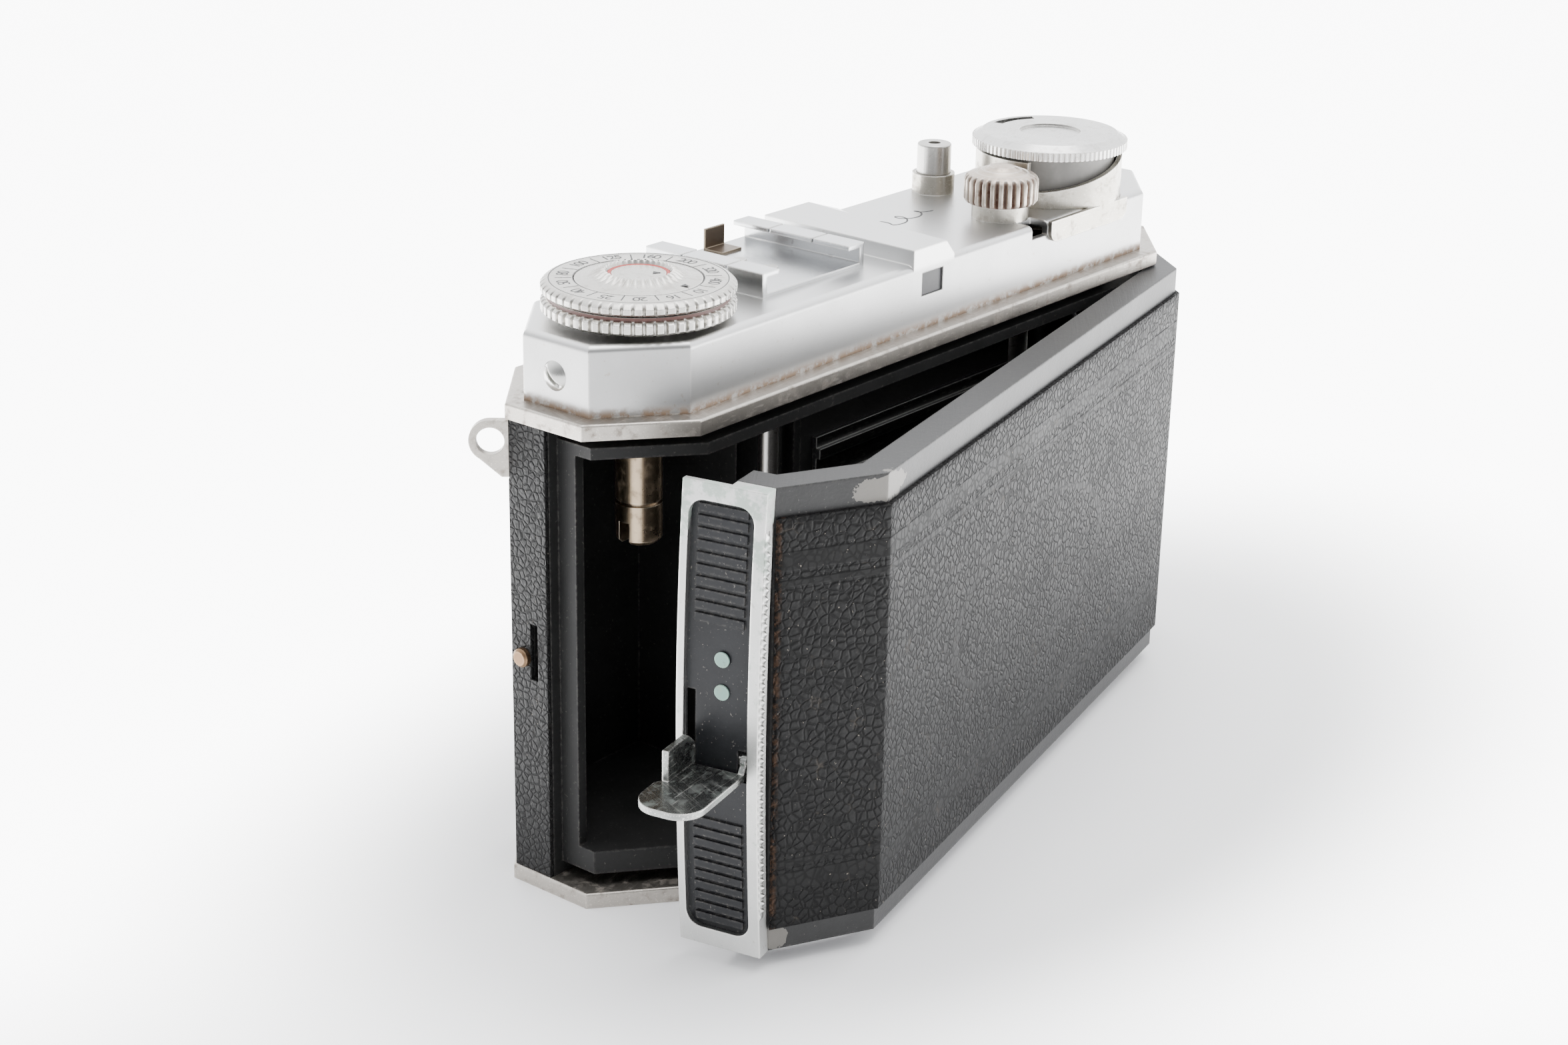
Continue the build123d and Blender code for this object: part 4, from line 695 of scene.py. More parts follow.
class Finishes:
    """All the camera's materials, built once and shared."""

    def __init__(self) -> None:
        """Build every finish."""
        made = [
            # The satin cover's deck colour is lighter than its sides: painted light on the top.
            Plating("satin_cover", WARM_CHROME, BRIGHT, deck=(0.66, 0.66, 0.655), grime=Grime.SEAM,
                    grime_amount=0.8, dirt=(0.22, 0.12, 0.05), rough=(0.28, 0.36), grain=0.05,
                    scratch=0.04, soften=0.3, relief=0.004),
            Plating("trim_nickel", (0.46, 0.43, 0.39), (0.7, 0.66, 0.6), grime=Grime.OVERALL,
                    grime_amount=0.45, rough=(0.3, 0.5), scratch=0.55, soften=0.2),
            Plating("knob_chrome", (0.55, 0.535, 0.50), BRIGHT, rough=(0.2, 0.36), scratch=0.1,
                    turned=REWIND, grime=Grime.OVERALL, grime_amount=0.25),
            Plating("wind_chrome", (0.62, 0.615, 0.6), BRIGHT, rough=(0.2, 0.34), scratch=0.2,
                    turned=WIND, grime=Grime.OVERALL, grime_amount=0.2),
            Plating("guard_nickel", (0.47, 0.445, 0.39), BRIGHT, rough=(0.22, 0.4), scratch=0.25,
                    grime=Grime.OVERALL, grime_amount=0.35),
            Plating("fluted_nickel", (0.5, 0.43, 0.36), BRIGHT, rough=(0.25, 0.42), scratch=0.1,
                    grime=Grime.FLUTES, grime_amount=1.0, dirt=(0.11, 0.055, 0.035), turned=TURN),
            Plating("screw_nickel", (0.6, 0.6, 0.58), BRIGHT, rough=(0.22, 0.36), scratch=0.2),
            Plating("latch_chrome", (0.6, 0.605, 0.59), BRIGHT, rough=(0.25, 0.4), scratch=0.2,
                    patina=0.55, patina_from=44.0, soften=0.25),
            # The lever's base colour is darker than the other chrome: a painted dark reflection.
            Plating("lever_chrome", (0.3, 0.31, 0.3), BRIGHT, rough=(0.2, 0.34), scratch=0.6,
                    grime=Grime.OVERALL, grime_amount=0.25, dirt=(0.1, 0.11, 0.1), patina=0.2, soften=0.25),
            Plating("shoe_chrome", (0.62, 0.63, 0.64), BRIGHT, rough=(0.2, 0.28), scratch=0.04,
                    soften=0.35),
            Plating("gate_steel", (0.10, 0.10, 0.10), (0.4, 0.4, 0.38), rough=(0.25, 0.4), scratch=0.3),
            Plating("tab_brass", (0.15, 0.115, 0.085), (0.4, 0.34, 0.26), rough=(0.3, 0.5)),
            Plating("bronze_nickel", (0.46, 0.36, 0.25), (0.74, 0.66, 0.54), rough=(0.22, 0.38),
                    grime=Grime.OVERALL, grime_amount=0.35),
            Plating("brown_brass", (0.2, 0.125, 0.075), (0.45, 0.32, 0.2), rough=(0.35, 0.55)),
            Plating("green_brass", (0.22, 0.36, 0.31), (0.36, 0.5, 0.42), rough=(0.5, 0.65), patina=0.8,
                    metallic=0.2),
            Plating("steel", (0.5, 0.49, 0.47), BRIGHT, rough=(0.25, 0.4), scratch=0.2),
            Lacquer("housing_grey", (0.17, 0.165, 0.155), rough=(0.5, 0.65)),
            Lacquer("chamber_black", (0.006, 0.006, 0.006), rough=(0.5, 0.7), chips=0.12),
            Lacquer("body_black", (0.012, 0.012, 0.012), rough=(0.3, 0.45), chips=0.6),
            Lacquer("back_black", (0.014, 0.014, 0.014), (0.15, 0.143, 0.13), rough=(0.36, 0.5), chips=0.3,
                    brushed=True, soften=0.4,
                    spots=(((44.8, 38.6, 59.3), (4.6, 4.6, 1.7)), ((56.5, 32.5, 3.8), (1.8, 1.8, 1.7)))),
            Lacquer("inset_black", (0.009, 0.0095, 0.011), rough=(0.26, 0.38), chips=0.15,
                    dust=0.35, gloss=0.25),
            Lacquer("pane", (0.06, 0.06, 0.062), rough=(0.3, 0.4), chips=0.0, dust=0.1, gloss=0.3),
            Lacquer("bellows_black", (0.012, 0.012, 0.012), rough=(0.6, 0.8), chips=0.0),
            GrainedLeather("grained_leather"),
            GrainedLeather("back_grain", bands=True, cell=1.05, depth=0.14, soften=1.6, gloss=0.14),
            Glass("glass"),
        ]
        paints = {
            "engraving": (0.012, 0.012, 0.012),
            "red_brown": (0.11, 0.04, 0.03),
            "red_paint": (0.42, 0.03, 0.02),
        }
        self.by_name = {m.name: m.build() for m in made}
        self.by_name |= {name: flat_print(name, colour) for name, colour in paints.items()}

    def dress(self, piece: bpy.types.Object, name: str) -> None:
        """Give a piece one finish all over.

        Args:
            piece: The piece.
            name: The finish's name.
        """
        piece.data.materials.clear()
        piece.data.materials.append(self.by_name[name])


CAD_FINISH = {
    "chamber_black": ("body_shell", "rewind_housing", "spool_housing"),
    "trim_nickel": ("base_plate", "upper_plate", "strap_lugs", "cover_screws", "front_rim", "bed_release"),
    "steel": (
        "tripod_bush", "guide_roller", "roller_axle", "sprocket", "sprocket_axle", "shoe_rivets",
        "rewind_washer", "hinge_pin", "pressure_spring", "lever_pin", "bed_pin", "release_button",
    ),
    "grained_leather": ("rewind_end_leather", "winding_end_leather", "bed_leather"),
    "back_grain": ("back_leather",),
    "brown_brass": ("catch_stud",),
    "body_black": (
        "take_up_spool", "frame_counter", "pressure_plate", "bed",
        "lens_standard", "lens_tube",
    ),
    "back_black": ("back_shell",),
    "housing_grey": ("wind_drum", "shutter_housing"),
    "wind_chrome": ("wind_knob",),
    "guard_nickel": ("wind_guard", "turn_knob", "release_collar", "turn_collar"),
    "satin_cover": ("top_cover",),
    "shoe_chrome": ("accessory_shoe",),
    "gate_steel": ("film_gate",),
    "tab_brass": ("shoe_stop",),
    "lever_chrome": ("latch_lever",),
    "glass": ("front_lens", "rear_lens"),
    "pane": ("eyepiece_glass", "finder_window"),
    "bronze_nickel": ("rewind_shaft",),
    "knob_chrome": ("rewind_knob", "reminder_dial", "hub_disc", "speed_ring", "focus_ring"),
    "latch_chrome": ("latch_plate",),
    "inset_black": ("latch_inset",),
    "green_brass": ("latch_rivets",),
    "bellows_black": ("bellows",),
}


# ---- surfaces ------------------------------------------------------------------


def stand(name: str, data: Any) -> bpy.types.Object:
    """Put a new object in the scene.

    Args:
        name: The object's name.
        data: Its mesh, light or camera.

    Returns:
        The object.
    """
    made = bpy.data.objects.new(name, data)
    bpy.context.scene.collection.objects.link(made)
    return made


def plain(name: str, points: Sequence[Any], faces: Sequence[Any]) -> bpy.types.Object:
    """Make a flat-shaded piece from points in metres.

    Args:
        name: The piece's name.
        points: One X, Y and Z per point.
        faces: The point numbers of each face, however many corners it has.

    Returns:
        The piece.
    """
    mesh = bpy.data.meshes.new(name)
    mesh.from_pydata(points, [], faces)
    mesh.update()
    return stand(name, mesh)


def skin(
    name: str, points: np.ndarray, faces: np.ndarray, sharp: float = 35.0
) -> bpy.types.Object:
    """Make a piece from whole arrays of points and four-cornered faces.

    Args:
        name: The piece's name.
        points: One row of X, Y and Z per point, in millimetres.
        faces: One row of four point numbers per face.
        sharp: Edges that turn by more degrees than this stay sharp.

    Returns:
        The piece.
    """
    mesh = bpy.data.meshes.new(name)
    mesh.vertices.add(len(points))
    mesh.vertices.foreach_set("co", (points * MM).astype(np.float32).ravel())
    mesh.loops.add(faces.size)
    mesh.loops.foreach_set("vertex_index", faces.astype(np.int32).ravel())
    mesh.polygons.add(len(faces))
    mesh.polygons.foreach_set("loop_start", np.arange(len(faces), dtype=np.int32) * 4)
    mesh.update(calc_edges=True)
    mesh.validate()
    mesh.polygons.foreach_set("use_smooth", np.ones(len(mesh.polygons), bool))
    mesh.set_sharp_from_angle(angle=math.radians(sharp))
    mesh.update()
    return stand(name, mesh)


def grid_faces(rows: int, columns: int, wrap: bool) -> np.ndarray:
    """Faces of a grid of points, row after row.

    Args:
        rows: Number of rows.
        columns: Number of points in a row.
        wrap: Whether the last column joins the first.

    Returns:
        One row of four point numbers per face.
    """
    across = columns if wrap else columns - 1
    i, j = np.meshgrid(np.arange(rows - 1), np.arange(across), indexing="ij")
    k = (j + 1) % columns
    corners = (i * columns + j, i * columns + k, (i + 1) * columns + k, (i + 1) * columns + j)
    return np.stack(corners, -1).reshape(-1, 4)


def swing(points: np.ndarray) -> np.ndarray:
    """Points of the shut back, turned about the hinge to where it stands open.

    Args:
        points: Rows of X, Y and Z in millimetres.

    Returns:
        The turned rows.
    """
    c, s = math.cos(AJAR), math.sin(AJAR)
    dx, dy = points[:, 0] - HINGE[0] * 1000, points[:, 1] - HINGE[1] * 1000
    x, y = HINGE[0] * 1000 + dx * c - dy * s, HINGE[1] * 1000 + dx * s + dy * c
    return np.stack([x, y, points[:, 2]], 1)


@dataclass
class Turned:
    """A turned piece whose rim may be notched.

    Its radius at height z and angle t is the profile's radius less a notch: the depth at
    that place of the profile times how deep the notch pattern is at that angle.
    """

    name: str
    centre: tuple[float, float]
    profile: Sequence[tuple[float, float, float]]
    notches: int = 0
    depth: float = 0.0
    width: float = 0.62
    slope: float = 0.35
    per_notch: int = 8
    lift: Callable[[np.ndarray, np.ndarray], np.ndarray] | None = None

    def build(self) -> bpy.types.Object:
        """Work out the surface.

        Returns:
            The piece.
        """
        p = np.array(self.profile, float)
        count = max(self.notches * self.per_notch, 96)
        t = np.arange(count) / count * 2 * math.pi
        wave = np.abs(np.sin(t * self.notches / 2)) if self.notches else np.ones(count)
        notch = np.clip((self.width - wave) / self.slope, 0, 1)
        r = p[:, :1] - p[:, 2:] * self.depth * notch[None, :]
        z = np.repeat(p[:, 1:2], count, 1)
        if self.lift is not None:
            z = z + self.lift(r, np.repeat(t[None, :], len(p), 0))
        x = self.centre[0] + r * np.cos(t)[None, :]
        y = self.centre[1] + r * np.sin(t)[None, :]
        points = np.stack([x, y, z], -1).reshape(-1, 3)
        faces = grid_faces(len(p), count, True)
        first = np.arange(count)
        last = first + (len(p) - 1) * count
        join = np.stack([last, np.roll(last, -1), np.roll(first, -1), first], 1)
        return skin(self.name, points, np.concatenate([faces, join]))


def lettering(
    name: str,
    words: str,
    centre: tuple[float, float],
    radius: float,
    height: float,
    z: float,
    start: float,
    step: float,
) -> bpy.types.Object:
    """Small upright figures set round a circle, each a thin raised plate.

    A figure's own X runs clockwise along the circle and its own Y points outward. Its
    angle is the start less its number times the step.

    Args:
        name: The piece's name.
        words: The figures; a space leaves a gap.
        centre: The circle's centre in millimetres.
        radius: The circle's radius.
        height: The figures' height.
        z: The plate they stand on.
        start: Angle of the first figure in degrees.
        step: Angle between figures.

    Returns:
        The piece.
    """
    shapes: dict[str, tuple[np.ndarray, list[tuple[int, ...]]]] = {}
    points: list[np.ndarray] = []
    faces: list[tuple[int, ...]] = []
    total = 0
    for number, figure in enumerate(words):
        if figure == " ":
            continue
        if figure not in shapes:
            curve = bpy.data.curves.new(figure, "FONT")
            curve.body = figure
            curve.size = height * 1.35
            curve.extrude = 0.012
            curve.align_x = "CENTER"
            curve.resolution_u = 3
            holder = bpy.data.objects.new("figure", curve)
            mesh = bpy.data.meshes.new_from_object(holder)
            flat = np.zeros(len(mesh.vertices) * 3, np.float32)
            mesh.vertices.foreach_get("co", flat)
            shapes[figure] = (flat.reshape(-1, 3), [tuple(f.vertices) for f in mesh.polygons])
            bpy.data.objects.remove(holder)
            bpy.data.curves.remove(curve)
            bpy.data.meshes.remove(mesh)
        flat, own = shapes[figure]
        angle = math.radians(start - number * step)
        out = np.array([math.cos(angle), math.sin(angle), 0.0])
        along = np.array([out[1], -out[0], 0.0])
        up = np.array([0.0, 0.0, 1.0])
        middle = np.array([centre[0], centre[1], z]) + out * (radius - height / 2)
        points.append(middle + flat[:, :1] * along + flat[:, 1:2] * out + flat[:, 2:] * up)
        faces += [tuple(v + total for v in f) for f in own]
        total += len(flat)
    return plain(name, (np.concatenate(points) * MM).tolist(), faces)


def ribbon(name: str, line: np.ndarray, width: float, thick: float = 0.02) -> bpy.types.Object:
    """A thin level strip along a line, such as an engraved mark.

    Each point of the line gives four corners: half the width to either side, at the
    line's height and one thickness above it.

    Args:
        name: The piece's name.
        line: Rows of X, Y and Z in millimetres.
        width: The strip's width.
        thick: The strip's thickness.

    Returns:
        The piece.
    """
    along = np.gradient(line, axis=0)
    along[:, 2] = 0
    along /= np.linalg.norm(along, axis=1, keepdims=True)
    side = np.stack([-along[:, 1], along[:, 0], np.zeros(len(line))], 1) * width / 2
    up = np.array([0, 0, thick])
    ring = np.stack([line - side, line + side, line + side + up, line - side + up], 1)
    faces = grid_faces(len(line), 4, True)[:, ::-1]
    last = 4 * len(line)
    ends = np.array([[0, 1, 2, 3], [last - 1, last - 2, last - 3, last - 4]])
    return skin(name, ring.reshape(-1, 3), np.concatenate([faces, ends]))


# ---- sub-assemblies ------------------------------------------------------------


@dataclass
class Assembly:
    """Pieces that ride together, dressed from the shared finishes."""

    finishes: Finishes

    def place(
        self, piece: bpy.types.Object, finish: str, body: str, nodes: Sequence[str] = (), slot: str = ""
    ) -> None:
        """Dress a piece and put it on its body.

        Args:
            piece: The piece.
            finish: Its finish.
            body: The body it rides on.
            nodes: The plain nodes that it stands for.
            slot: Not used.
        """
        self.finishes.dress(piece, finish)
        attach(piece, body)
        if nodes:
            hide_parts(*nodes)
        LOG.info("%s rides on %s", piece.name, body)


@dataclass
class RewindKnob(Assembly):
    """The rewind knob, its film reminder ring and the fluted hub."""

    low: float = 72.9
    rim: float = 11.75
    groove: float = 11.0
    inner: float = 7.7
    top: float = 77.0
    crest: float = 4.3
    flutes: int = 34
    notches: int = 56

    def knob(self) -> None:
        """The lower notched disc, the groove above it and the boss inside the ring."""
        z0, z1 = self.low, self.low + 1.9
        profile = (
            (2.9, z0, 0), (10.6, z0, 0), (10.9, z0 + 0.05, 0.1), (11.35, z0 + 0.25, 0.5),
            (self.rim, z0 + 0.55, 1), (self.rim, z1 - 0.4, 1), (11.45, z1 - 0.1, 0.6), (11.1, z1, 0.1),
            (self.groove, z1, 0), (self.groove, z1 + 0.42, 0), (self.inner, z1 + 0.42, 0),
            (self.inner, self.top - 0.04, 0), (7.45, self.top + 0.03, 0), (6.6, self.top + 0.14, 0),
            (5.9, self.top + 0.34, 0), (5.3, self.top + 0.62, 0), (4.75, self.top + 0.95, 0),
            (self.crest, self.top + 1.12, 0), (4.05, self.top + 1.08, 0), (3.85, self.top + 0.7, 0),
            (3.72, self.top + 0.45, 0), (2.9, self.top + 0.42, 0),
        )

        def fluting(r: np.ndarray, t: np.ndarray) -> np.ndarray:
            """Grooves down the hub: a sharp cosine ridge that fades out away from the crest."""
            fade = np.clip((6.0 - r) / 1.5, 0, 1) * np.clip((r - 3.9) / 0.3, 0, 1)
            ridge = np.abs(np.sin(t * self.flutes / 2))
            return -0.42 * fade * (1 - ridge)

        band = ((10.9, z1 + 0.02, 0), (11.05, z1 + 0.02, 0), (11.05, z1 + 0.4, 0), (10.9, z1 + 0.4, 0))
        self.place(Turned("groove_band", REWIND, band).build(), "red_brown", "rewind")
        piece = Turned(
            "rewind_knob_body", REWIND, profile, self.notches, 0.55, 0.66, 0.4, 14, lift=fluting
        ).build()
        self.place(piece, "knob_chrome", "rewind", ("rewind_knob",), "knob_chrome")

    def ring(self) -> None:
        """The notched reminder ring with its engraved figures."""
        z0, z1 = 75.32, self.top
        profile = (
            (7.8, z0, 0), (10.9, z0, 0), (11.3, z0 + 0.12, 0.4), (self.rim, z0 + 0.45, 1),
            (self.rim, z1 - 0.62, 1), (11.5, z1 - 0.35, 0.6), (11.15, z1 - 0.1, 0.15), (10.85, z1, 0),
            (7.8, z1, 0),
        )
        piece = Turned("reminder_ring", REWIND, profile, self.notches, 0.4, 0.5, 0.45, 12).build()
        self.place(piece, "knob_chrome", "reminder", ("reminder_dial",), "knob_chrome")
        for number, radius in enumerate((10.75, 7.86)):
            line = ((radius - 0.06, z1 - 0.02, 0), (radius + 0.06, z1 - 0.02, 0),
                    (radius + 0.06, z1 + 0.012, 0), (radius - 0.06, z1 + 0.012, 0))
            self.place(Turned(f"reminder_line_{number}", REWIND, line).build(), "engraving", "reminder")
        words = "25 | 40 | 50 | 80 | 100 | 125 | 160 | 200 | 320 | 400 | 10 | 16 | 20 | "
        marks = lettering("reminder_figures", words, REWIND, 9.3, 1.6, z1, 20.0, 360 / len(words))
        self.place(marks, "engraving", "reminder")

    def hub(self) -> None:
        """The hub's middle: a red ring round a plain disc with a small mark."""
        z = self.top + 0.47
        disc = ((0.02, z + 0.12, 0), (0.02, z - 0.2, 0), (3.3, z - 0.2, 0), (3.3, z + 0.1, 0))
        piece = Turned("hub_plate", REWIND, disc).build()
        self.place(piece, "knob_chrome", "rewind", ("hub_disc",), "knob_chrome")
        ring = ((3.3, z - 0.1, 0), (3.7, z - 0.1, 0), (3.72, z + 0.14, 0), (3.34, z + 0.09, 0))
        self.place(Turned("hub_ring", REWIND, ring).build(), "red_paint", "rewind")
        self.mark("hub_mark", 2.2, 128.0, z + 0.13, 0.55, 1.0)
        self.mark("pointer_mark", 6.75, 95.0, self.top + 0.16, 0.75, 1.5)

    def mark(self, name: str, radius: float, angle: float, z: float, wide: float, tall: float) -> None:
        """A small filled triangle that points to the rim.

        Args:
            name: The mark's name.
            radius: Distance of its middle from the axis.
            angle: Its direction in degrees.
            z: Its height.
            wide: Its width.
            tall: Its length.
        """
        out = np.array([math.cos(math.radians(angle)), math.sin(math.radians(angle)), 0])
        side = np.array([-out[1], out[0], 0])
        at = np.array([*REWIND, z]) + out * radius
        base = [at - out * tall / 2 - side * wide, at - out * tall / 2 + side * wide, at + out * tall / 2]
        points = np.array(base + [p + np.array([0, 0, 0.02]) for p in base]) * MM
        faces = [(0, 1, 4, 3), (1, 2, 5, 4), (2, 0, 3, 5), (3, 4, 5), (2, 1, 0)]
        self.place(plain(name, points.tolist(), faces), "engraving", "rewind")

    def build(self) -> None:
        """Build the whole knob."""
        self.knob()
        self.ring()
        self.hub()


@dataclass
class SmallKnob(Assembly):
    """The fluted knob beside the winding knob."""

    low: float = 74.3
    foot: float = 71.3
    rim: float = 5.1
    flutes: int = 26

    def build(self) -> None:
        """One turned piece with deep flutes and rings on its crown."""
        z = self.low
        profile = (
            (0.02, self.foot, 0), (1.6, self.foot, 0), (1.6, z, 0), (4.3, z, 0), (4.8, z + 0.15, 0.5),
            (self.rim, z + 0.6, 1), (self.rim, z + 3.2, 1), (4.85, z + 3.7, 0.6), (4.45, z + 3.95, 0),
            (3.6, z + 4.25, 0), (3.5, z + 4.15, 0), (3.1, z + 4.3, 0), (2.7, z + 4.6, 0),
            (2.5, z + 4.5, 0), (1.9, z + 4.75, 0), (1.7, z + 5.0, 0), (0.9, z + 5.2, 0), (0.02, z + 5.25, 0),
        )
        piece = Turned("turn_knob_body", TURN, profile, self.flutes, 0.7, 0.85, 0.7, 10).build()
        self.place(piece, "fluted_nickel", "turn_button", ("turn_knob",), "knob_chrome")


@dataclass
class EndScrews(Assembly):
    """The domed screws in the top cover's ends."""

    radius: float = 1.85
    head: float = 0.85
    slot_half: float = 0.24
    face_x: float = 58.7
    middle: tuple[float, float] = (-0.2, 67.5)

    def build(self) -> None:
        """Two slotted domes.

        The head's height falls with the square of the distance from its middle, and drops
        to the slot's floor within the slot's half width.
        """
        u = np.linspace(0.0005, 1.0, 26)[:, None]
        t = np.arange(96)[None, :] / 96 * 2 * math.pi
        a, b = u * self.radius * np.cos(t), u * self.radius * np.sin(t)
        dome = self.head * (1 - u**2.2) + 0 * t
        across = np.abs((a + b) / math.sqrt(2))
        sunk = np.clip((self.slot_half - across) / 0.05, 0, 1)
        high = dome * (1 - sunk) + np.minimum(dome, 0.2) * sunk
        for side, name in ((1, "rewind_end_screw"), (-1, "winding_end_screw")):
            x, y, z = side * (self.face_x + high), self.middle[0] + side * a, self.middle[1] + b
            points = np.stack([x, y, z], -1).reshape(-1, 3)
            piece = skin(name, points, grid_faces(26, 96, True)[:, ::-1], 25.0)
            nodes = ("cover_screws",) if side > 0 else ()
            self.place(piece, "screw_nickel", "camera_body", nodes, "trim_nickel")


@dataclass
class LatchTrim(Assembly):
    """The milled edge of the latch plate, beside the leather."""

    low: float = 7.5
    high: float = 56.5
    pitch: float = 1.05
    proud: float = 0.5
    face_x: float = 62.0
    crown: float = 1.4
    middle_z: float = 31.7
    half_z: float = 29.4
    face_y: float = 6.9

    def build(self) -> None:
        """A bevel with slanted teeth.

        Across the bevel a point goes from the plate's face to its side, and along it the
        bevel stands out by a sawtooth of the height plus a slant.
        """
        rows = int((self.high - self.low) / self.pitch * 12)
        z = np.linspace(self.low, self.high, rows)[:, None]
        u = np.array([0.0, 0.12, 0.3, 0.5, 0.7, 0.88, 1.0])[None, :]
        bow = self.face_x + self.crown * (1 - ((z - self.middle_z) / self.half_z) ** 2)
        saw = np.mod((z + u * 0.6) / self.pitch, 1.0)
        tooth = np.minimum(saw / 0.7, (1 - saw) / 0.3) * np.sin(np.pi * u) ** 0.4
        fade = np.clip(np.minimum(z - self.low, self.high - z) / 1.5, 0, 1)
        x = bow - 0.05 - u * 1.15
        y = self.face_y + 0.03 * np.sin(np.pi * u) + self.proud * tooth * fade
        points = swing(np.stack([x, y, z + 0 * u], -1).reshape(-1, 3))
        piece = skin("latch_milled_edge", points, grid_faces(rows, 7, False), 30.0)
        solid = piece.modifiers.new("thickness", "SOLIDIFY")
        solid.thickness = 0.3 * MM
        solid.offset = -1.0
        self.place(piece, "latch_chrome", "back", (), "latch_chrome")


@dataclass
class DeckFlourish(Assembly):
    """A plain looping engraved line on the deck."""

    start: tuple[float, float] = (-6.5, -2.5)
    length: float = 12.5
    loops: float = 3.0
    height: float = 1.5

    def build(self) -> None:
        """One ribbon: it runs along while it circles, with circles that shrink to its end."""
        u = np.linspace(0, 1, 260)
        size = self.height * (1.25 - 0.75 * u)
        turn = u * self.loops * 2 * math.pi
        x = self.start[0] - self.length * u - size * np.sin(turn)
        y = self.start[1] + size * np.cos(turn) - u * 0.6
        line = np.stack([x, y, np.full_like(x, DECK_TOP)], 1)
        self.place(ribbon("deck_flourish", line, 0.26), "engraving", "camera_body")


@dataclass
class Bellows(Assembly):
    """Pleated bellows between the body and the lens standard."""

    half_x: float = 19.2
    half_z: float = 14.9
    middle_z: float = 32.5
    front: float = 7.2
    rear: float = -0.2
    pleats: int = 7
    fold: float = 1.7
    wall: float = 0.35

    def build(self) -> None:
        """A rounded rectangular tube whose sides step in and out by a triangle wave."""
        rows, columns = self.pleats * 6 + 1, 128
        u = np.linspace(0, 1, rows)[:, None]
        t = np.arange(columns)[None, :] / columns * 2 * math.pi
        wave = np.abs(np.mod(u * self.pleats, 1.0) * 2 - 1)
        inward = self.fold * (1 - wave)
        cos, sin = np.cos(t), np.sin(t)
        round_x = np.sign(cos) * np.abs(cos) ** 0.35
        round_z = np.sign(sin) * np.abs(sin) ** 0.35
        y = self.front + (self.rear - self.front) * u + 0 * t

        def tube(less: float) -> np.ndarray:
            """One surface of the tube, moved in by an amount."""
            x = (self.half_x - inward - less) * round_x
            z = self.middle_z + (self.half_z - inward - less) * round_z
            return np.stack([x, y, z], -1).reshape(-1, 3)

        outer, inner = tube(0.0), tube(self.wall)
        total = rows * columns
        faces = grid_faces(rows, columns, True)
        k = np.arange(columns)
        n = np.roll(k, -1)
        rim = np.stack([k, n, n + total, k + total], 1)
        base = (rows - 1) * columns
        end = np.stack([base + n, base + k, base + k + total, base + n + total], 1)
        every = np.concatenate([faces[:, ::-1], faces + total, rim, end])
        piece = skin("bellows_pleats", np.concatenate([outer, inner]), every, 20.0)
        self.finishes.dress(piece, "bellows_black")
        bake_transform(piece)
        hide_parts("bellows")
        LOG.info("%s follows the lens standard", piece.name)


# ---- light and camera ----------------------------------------------------------


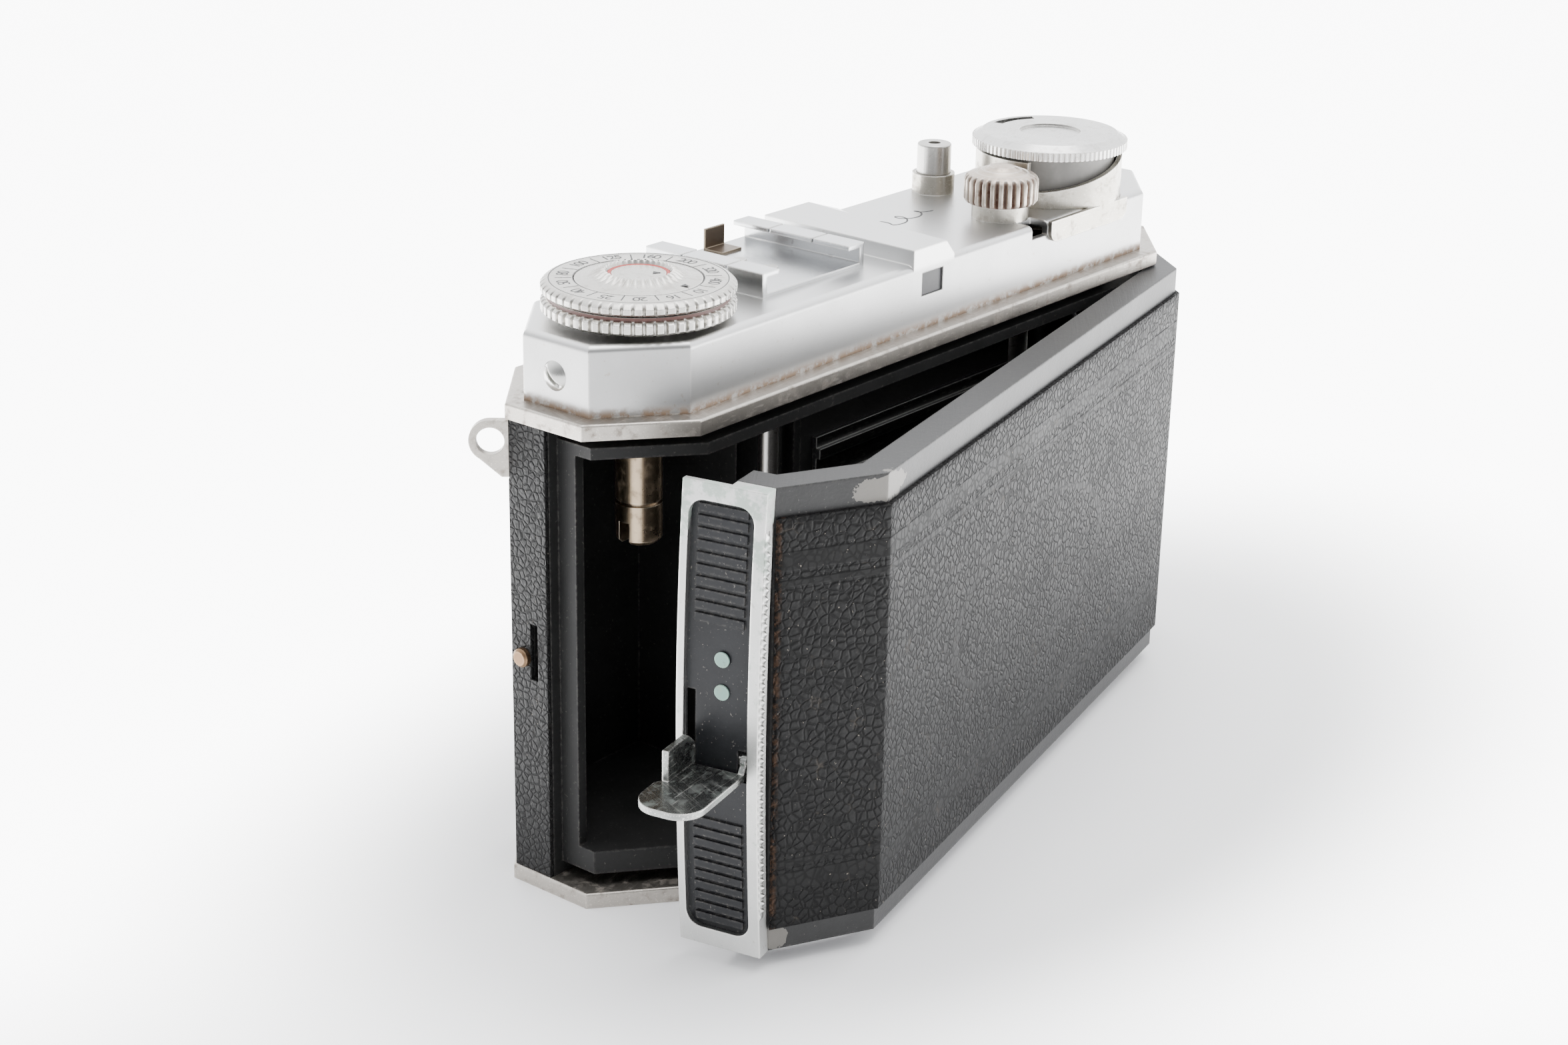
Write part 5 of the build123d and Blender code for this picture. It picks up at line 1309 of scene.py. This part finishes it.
@dataclass
class Studio:
    """A pale floor, a white surround, soft lamps and the camera."""

    floor_size: float = 6.0
    glow: float = 7.5
    shade_half: tuple[float, float] = (78.0, 42.0)
    shade_y: float = 14.0
    dim: float = 0.45
    bright: float = 3.5
    position: tuple[float, float, float] = (0.27558, 0.20822, 0.16567)
    aim: tuple[float, float, float] = (0.01546, 0.0, 0.03663)
    lens: float = 61.8
    roll: float = 1.09

    def floor(self) -> None:
        """Lay the floor: a flat square with a faint uneven tone that glows, with a painted shadow round the
        camera body and less glow towards the view.
        """
        half = self.floor_size / 2
        corners = [(-half, -half, 0), (half, -half, 0), (half, half, 0), (-half, half, 0)]
        piece = plain("floor", corners, [(0, 1, 2, 3)])
        r = Recipe("floor")
        tone = r.blend(r.noise(60.0).over(0.3, 0.7), (0.87, 0.87, 0.875), (0.9, 0.9, 0.9))
        x, y = r.axis("X"), r.axis("Y")
        half_x, half_y = self.shade_half
        # Painted light: the floor's glow fades in an ellipse round the camera body, a painted shadow, and
        # dims on the side towards the view.
        away = ((x / half_x) ** 2.0 + ((y - self.shade_y) / half_y) ** 2.0) ** 0.5
        toward = x * 0.798 + y * 0.603
        lit = away.over(0.95, 2.1) * (1 - toward.over(60.0, 125.0) * 0.92)
        glow = r.blend(lit, (0.015, 0.015, 0.016), (1.0, 1.0, 1.0))
        constants = {"Roughness": 0.75, "Emission Strength": self.glow}
        piece.data.materials.append(r.finish(constants, {"Base Color": tone, "Emission Color": glow}))

    def surround(self) -> None:
        """Light the scene from all round, most from high up behind the camera body."""
        world = bpy.data.worlds.new("surround")
        world.use_nodes = True
        tree = world.node_tree
        back = tree.nodes["Background"]
        place = tree.nodes.new("ShaderNodeTexCoord")
        facing = tree.nodes.new("ShaderNodeVectorMath")
        facing.operation = "DOT_PRODUCT"
        facing.inputs[1].default_value = (-0.70, -0.53, 0.48)
        span = tree.nodes.new("ShaderNodeMapRange")
        span.interpolation_type = "SMOOTHSTEP"
        span.inputs["From Min"].default_value = -0.6
        span.inputs["From Max"].default_value = 0.9
        span.inputs["To Min"].default_value = self.dim
        span.inputs["To Max"].default_value = self.bright
        tree.links.new(place.outputs["Generated"], facing.inputs[0])
        tree.links.new(facing.outputs["Value"], span.inputs["Value"])
        tree.links.new(span.outputs["Result"], back.inputs["Strength"])
        back.inputs["Color"].default_value = (0.97, 0.98, 1.0, 1.0)
        bpy.context.scene.world = world

    def lamp(self, name: str, place: Sequence[float], size: float, watts: float) -> None:
        """Hang one square soft lamp that faces the camera body.

        Args:
            name: The lamp's name.
            place: Where it hangs.
            size: Its side in metres.
            watts: Its power.
        """
        data = bpy.data.lights.new(name, "AREA")
        data.size = size
        data.energy = watts
        lamp = stand(name, data)
        lamp.location = Vector(place)
        lamp.rotation_euler = (Vector((0, 0, 0.04)) - Vector(place)).to_track_quat("-Z", "Y").to_euler()

    def camera(self) -> None:
        """Stand the camera: it looks at the aim point, with a small roll."""
        data = bpy.data.cameras.new("view")
        data.lens = self.lens
        data.sensor_width = 36.0
        data.clip_start, data.clip_end = 0.01, 20.0
        made = stand("view", data)
        place, aim = Vector(self.position), Vector(self.aim)
        turn = (aim - place).to_track_quat("-Z", "Y").to_matrix().to_4x4()
        roll = Matrix.Rotation(math.radians(self.roll), 4, "Z")
        made.matrix_world = Matrix.Translation(place) @ turn @ roll
        bpy.context.scene.camera = made

    def build(self) -> None:
        """Set up the floor, the light and the camera."""
        self.floor()
        self.surround()
        self.lamp("top_lamp", (0.0, 0.1, 0.9), 0.7, 7.0)
        self.lamp("back_lamp", (-0.5, 0.9, 0.5), 0.6, 1.5)
        self.camera()


def main() -> None:
    """Build the camera's looks in order."""
    logging.basicConfig(level=logging.INFO, format="%(message)s")
    finishes = Finishes()
    for finish, nodes in CAD_FINISH.items():
        for node in nodes:
            finishes.dress(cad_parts[node], finish)
    for assembly in (RewindKnob, SmallKnob, EndScrews, LatchTrim, DeckFlourish, Bellows):
        assembly(finishes).build()
    Studio().build()


if __name__ == "__main__":
    main()
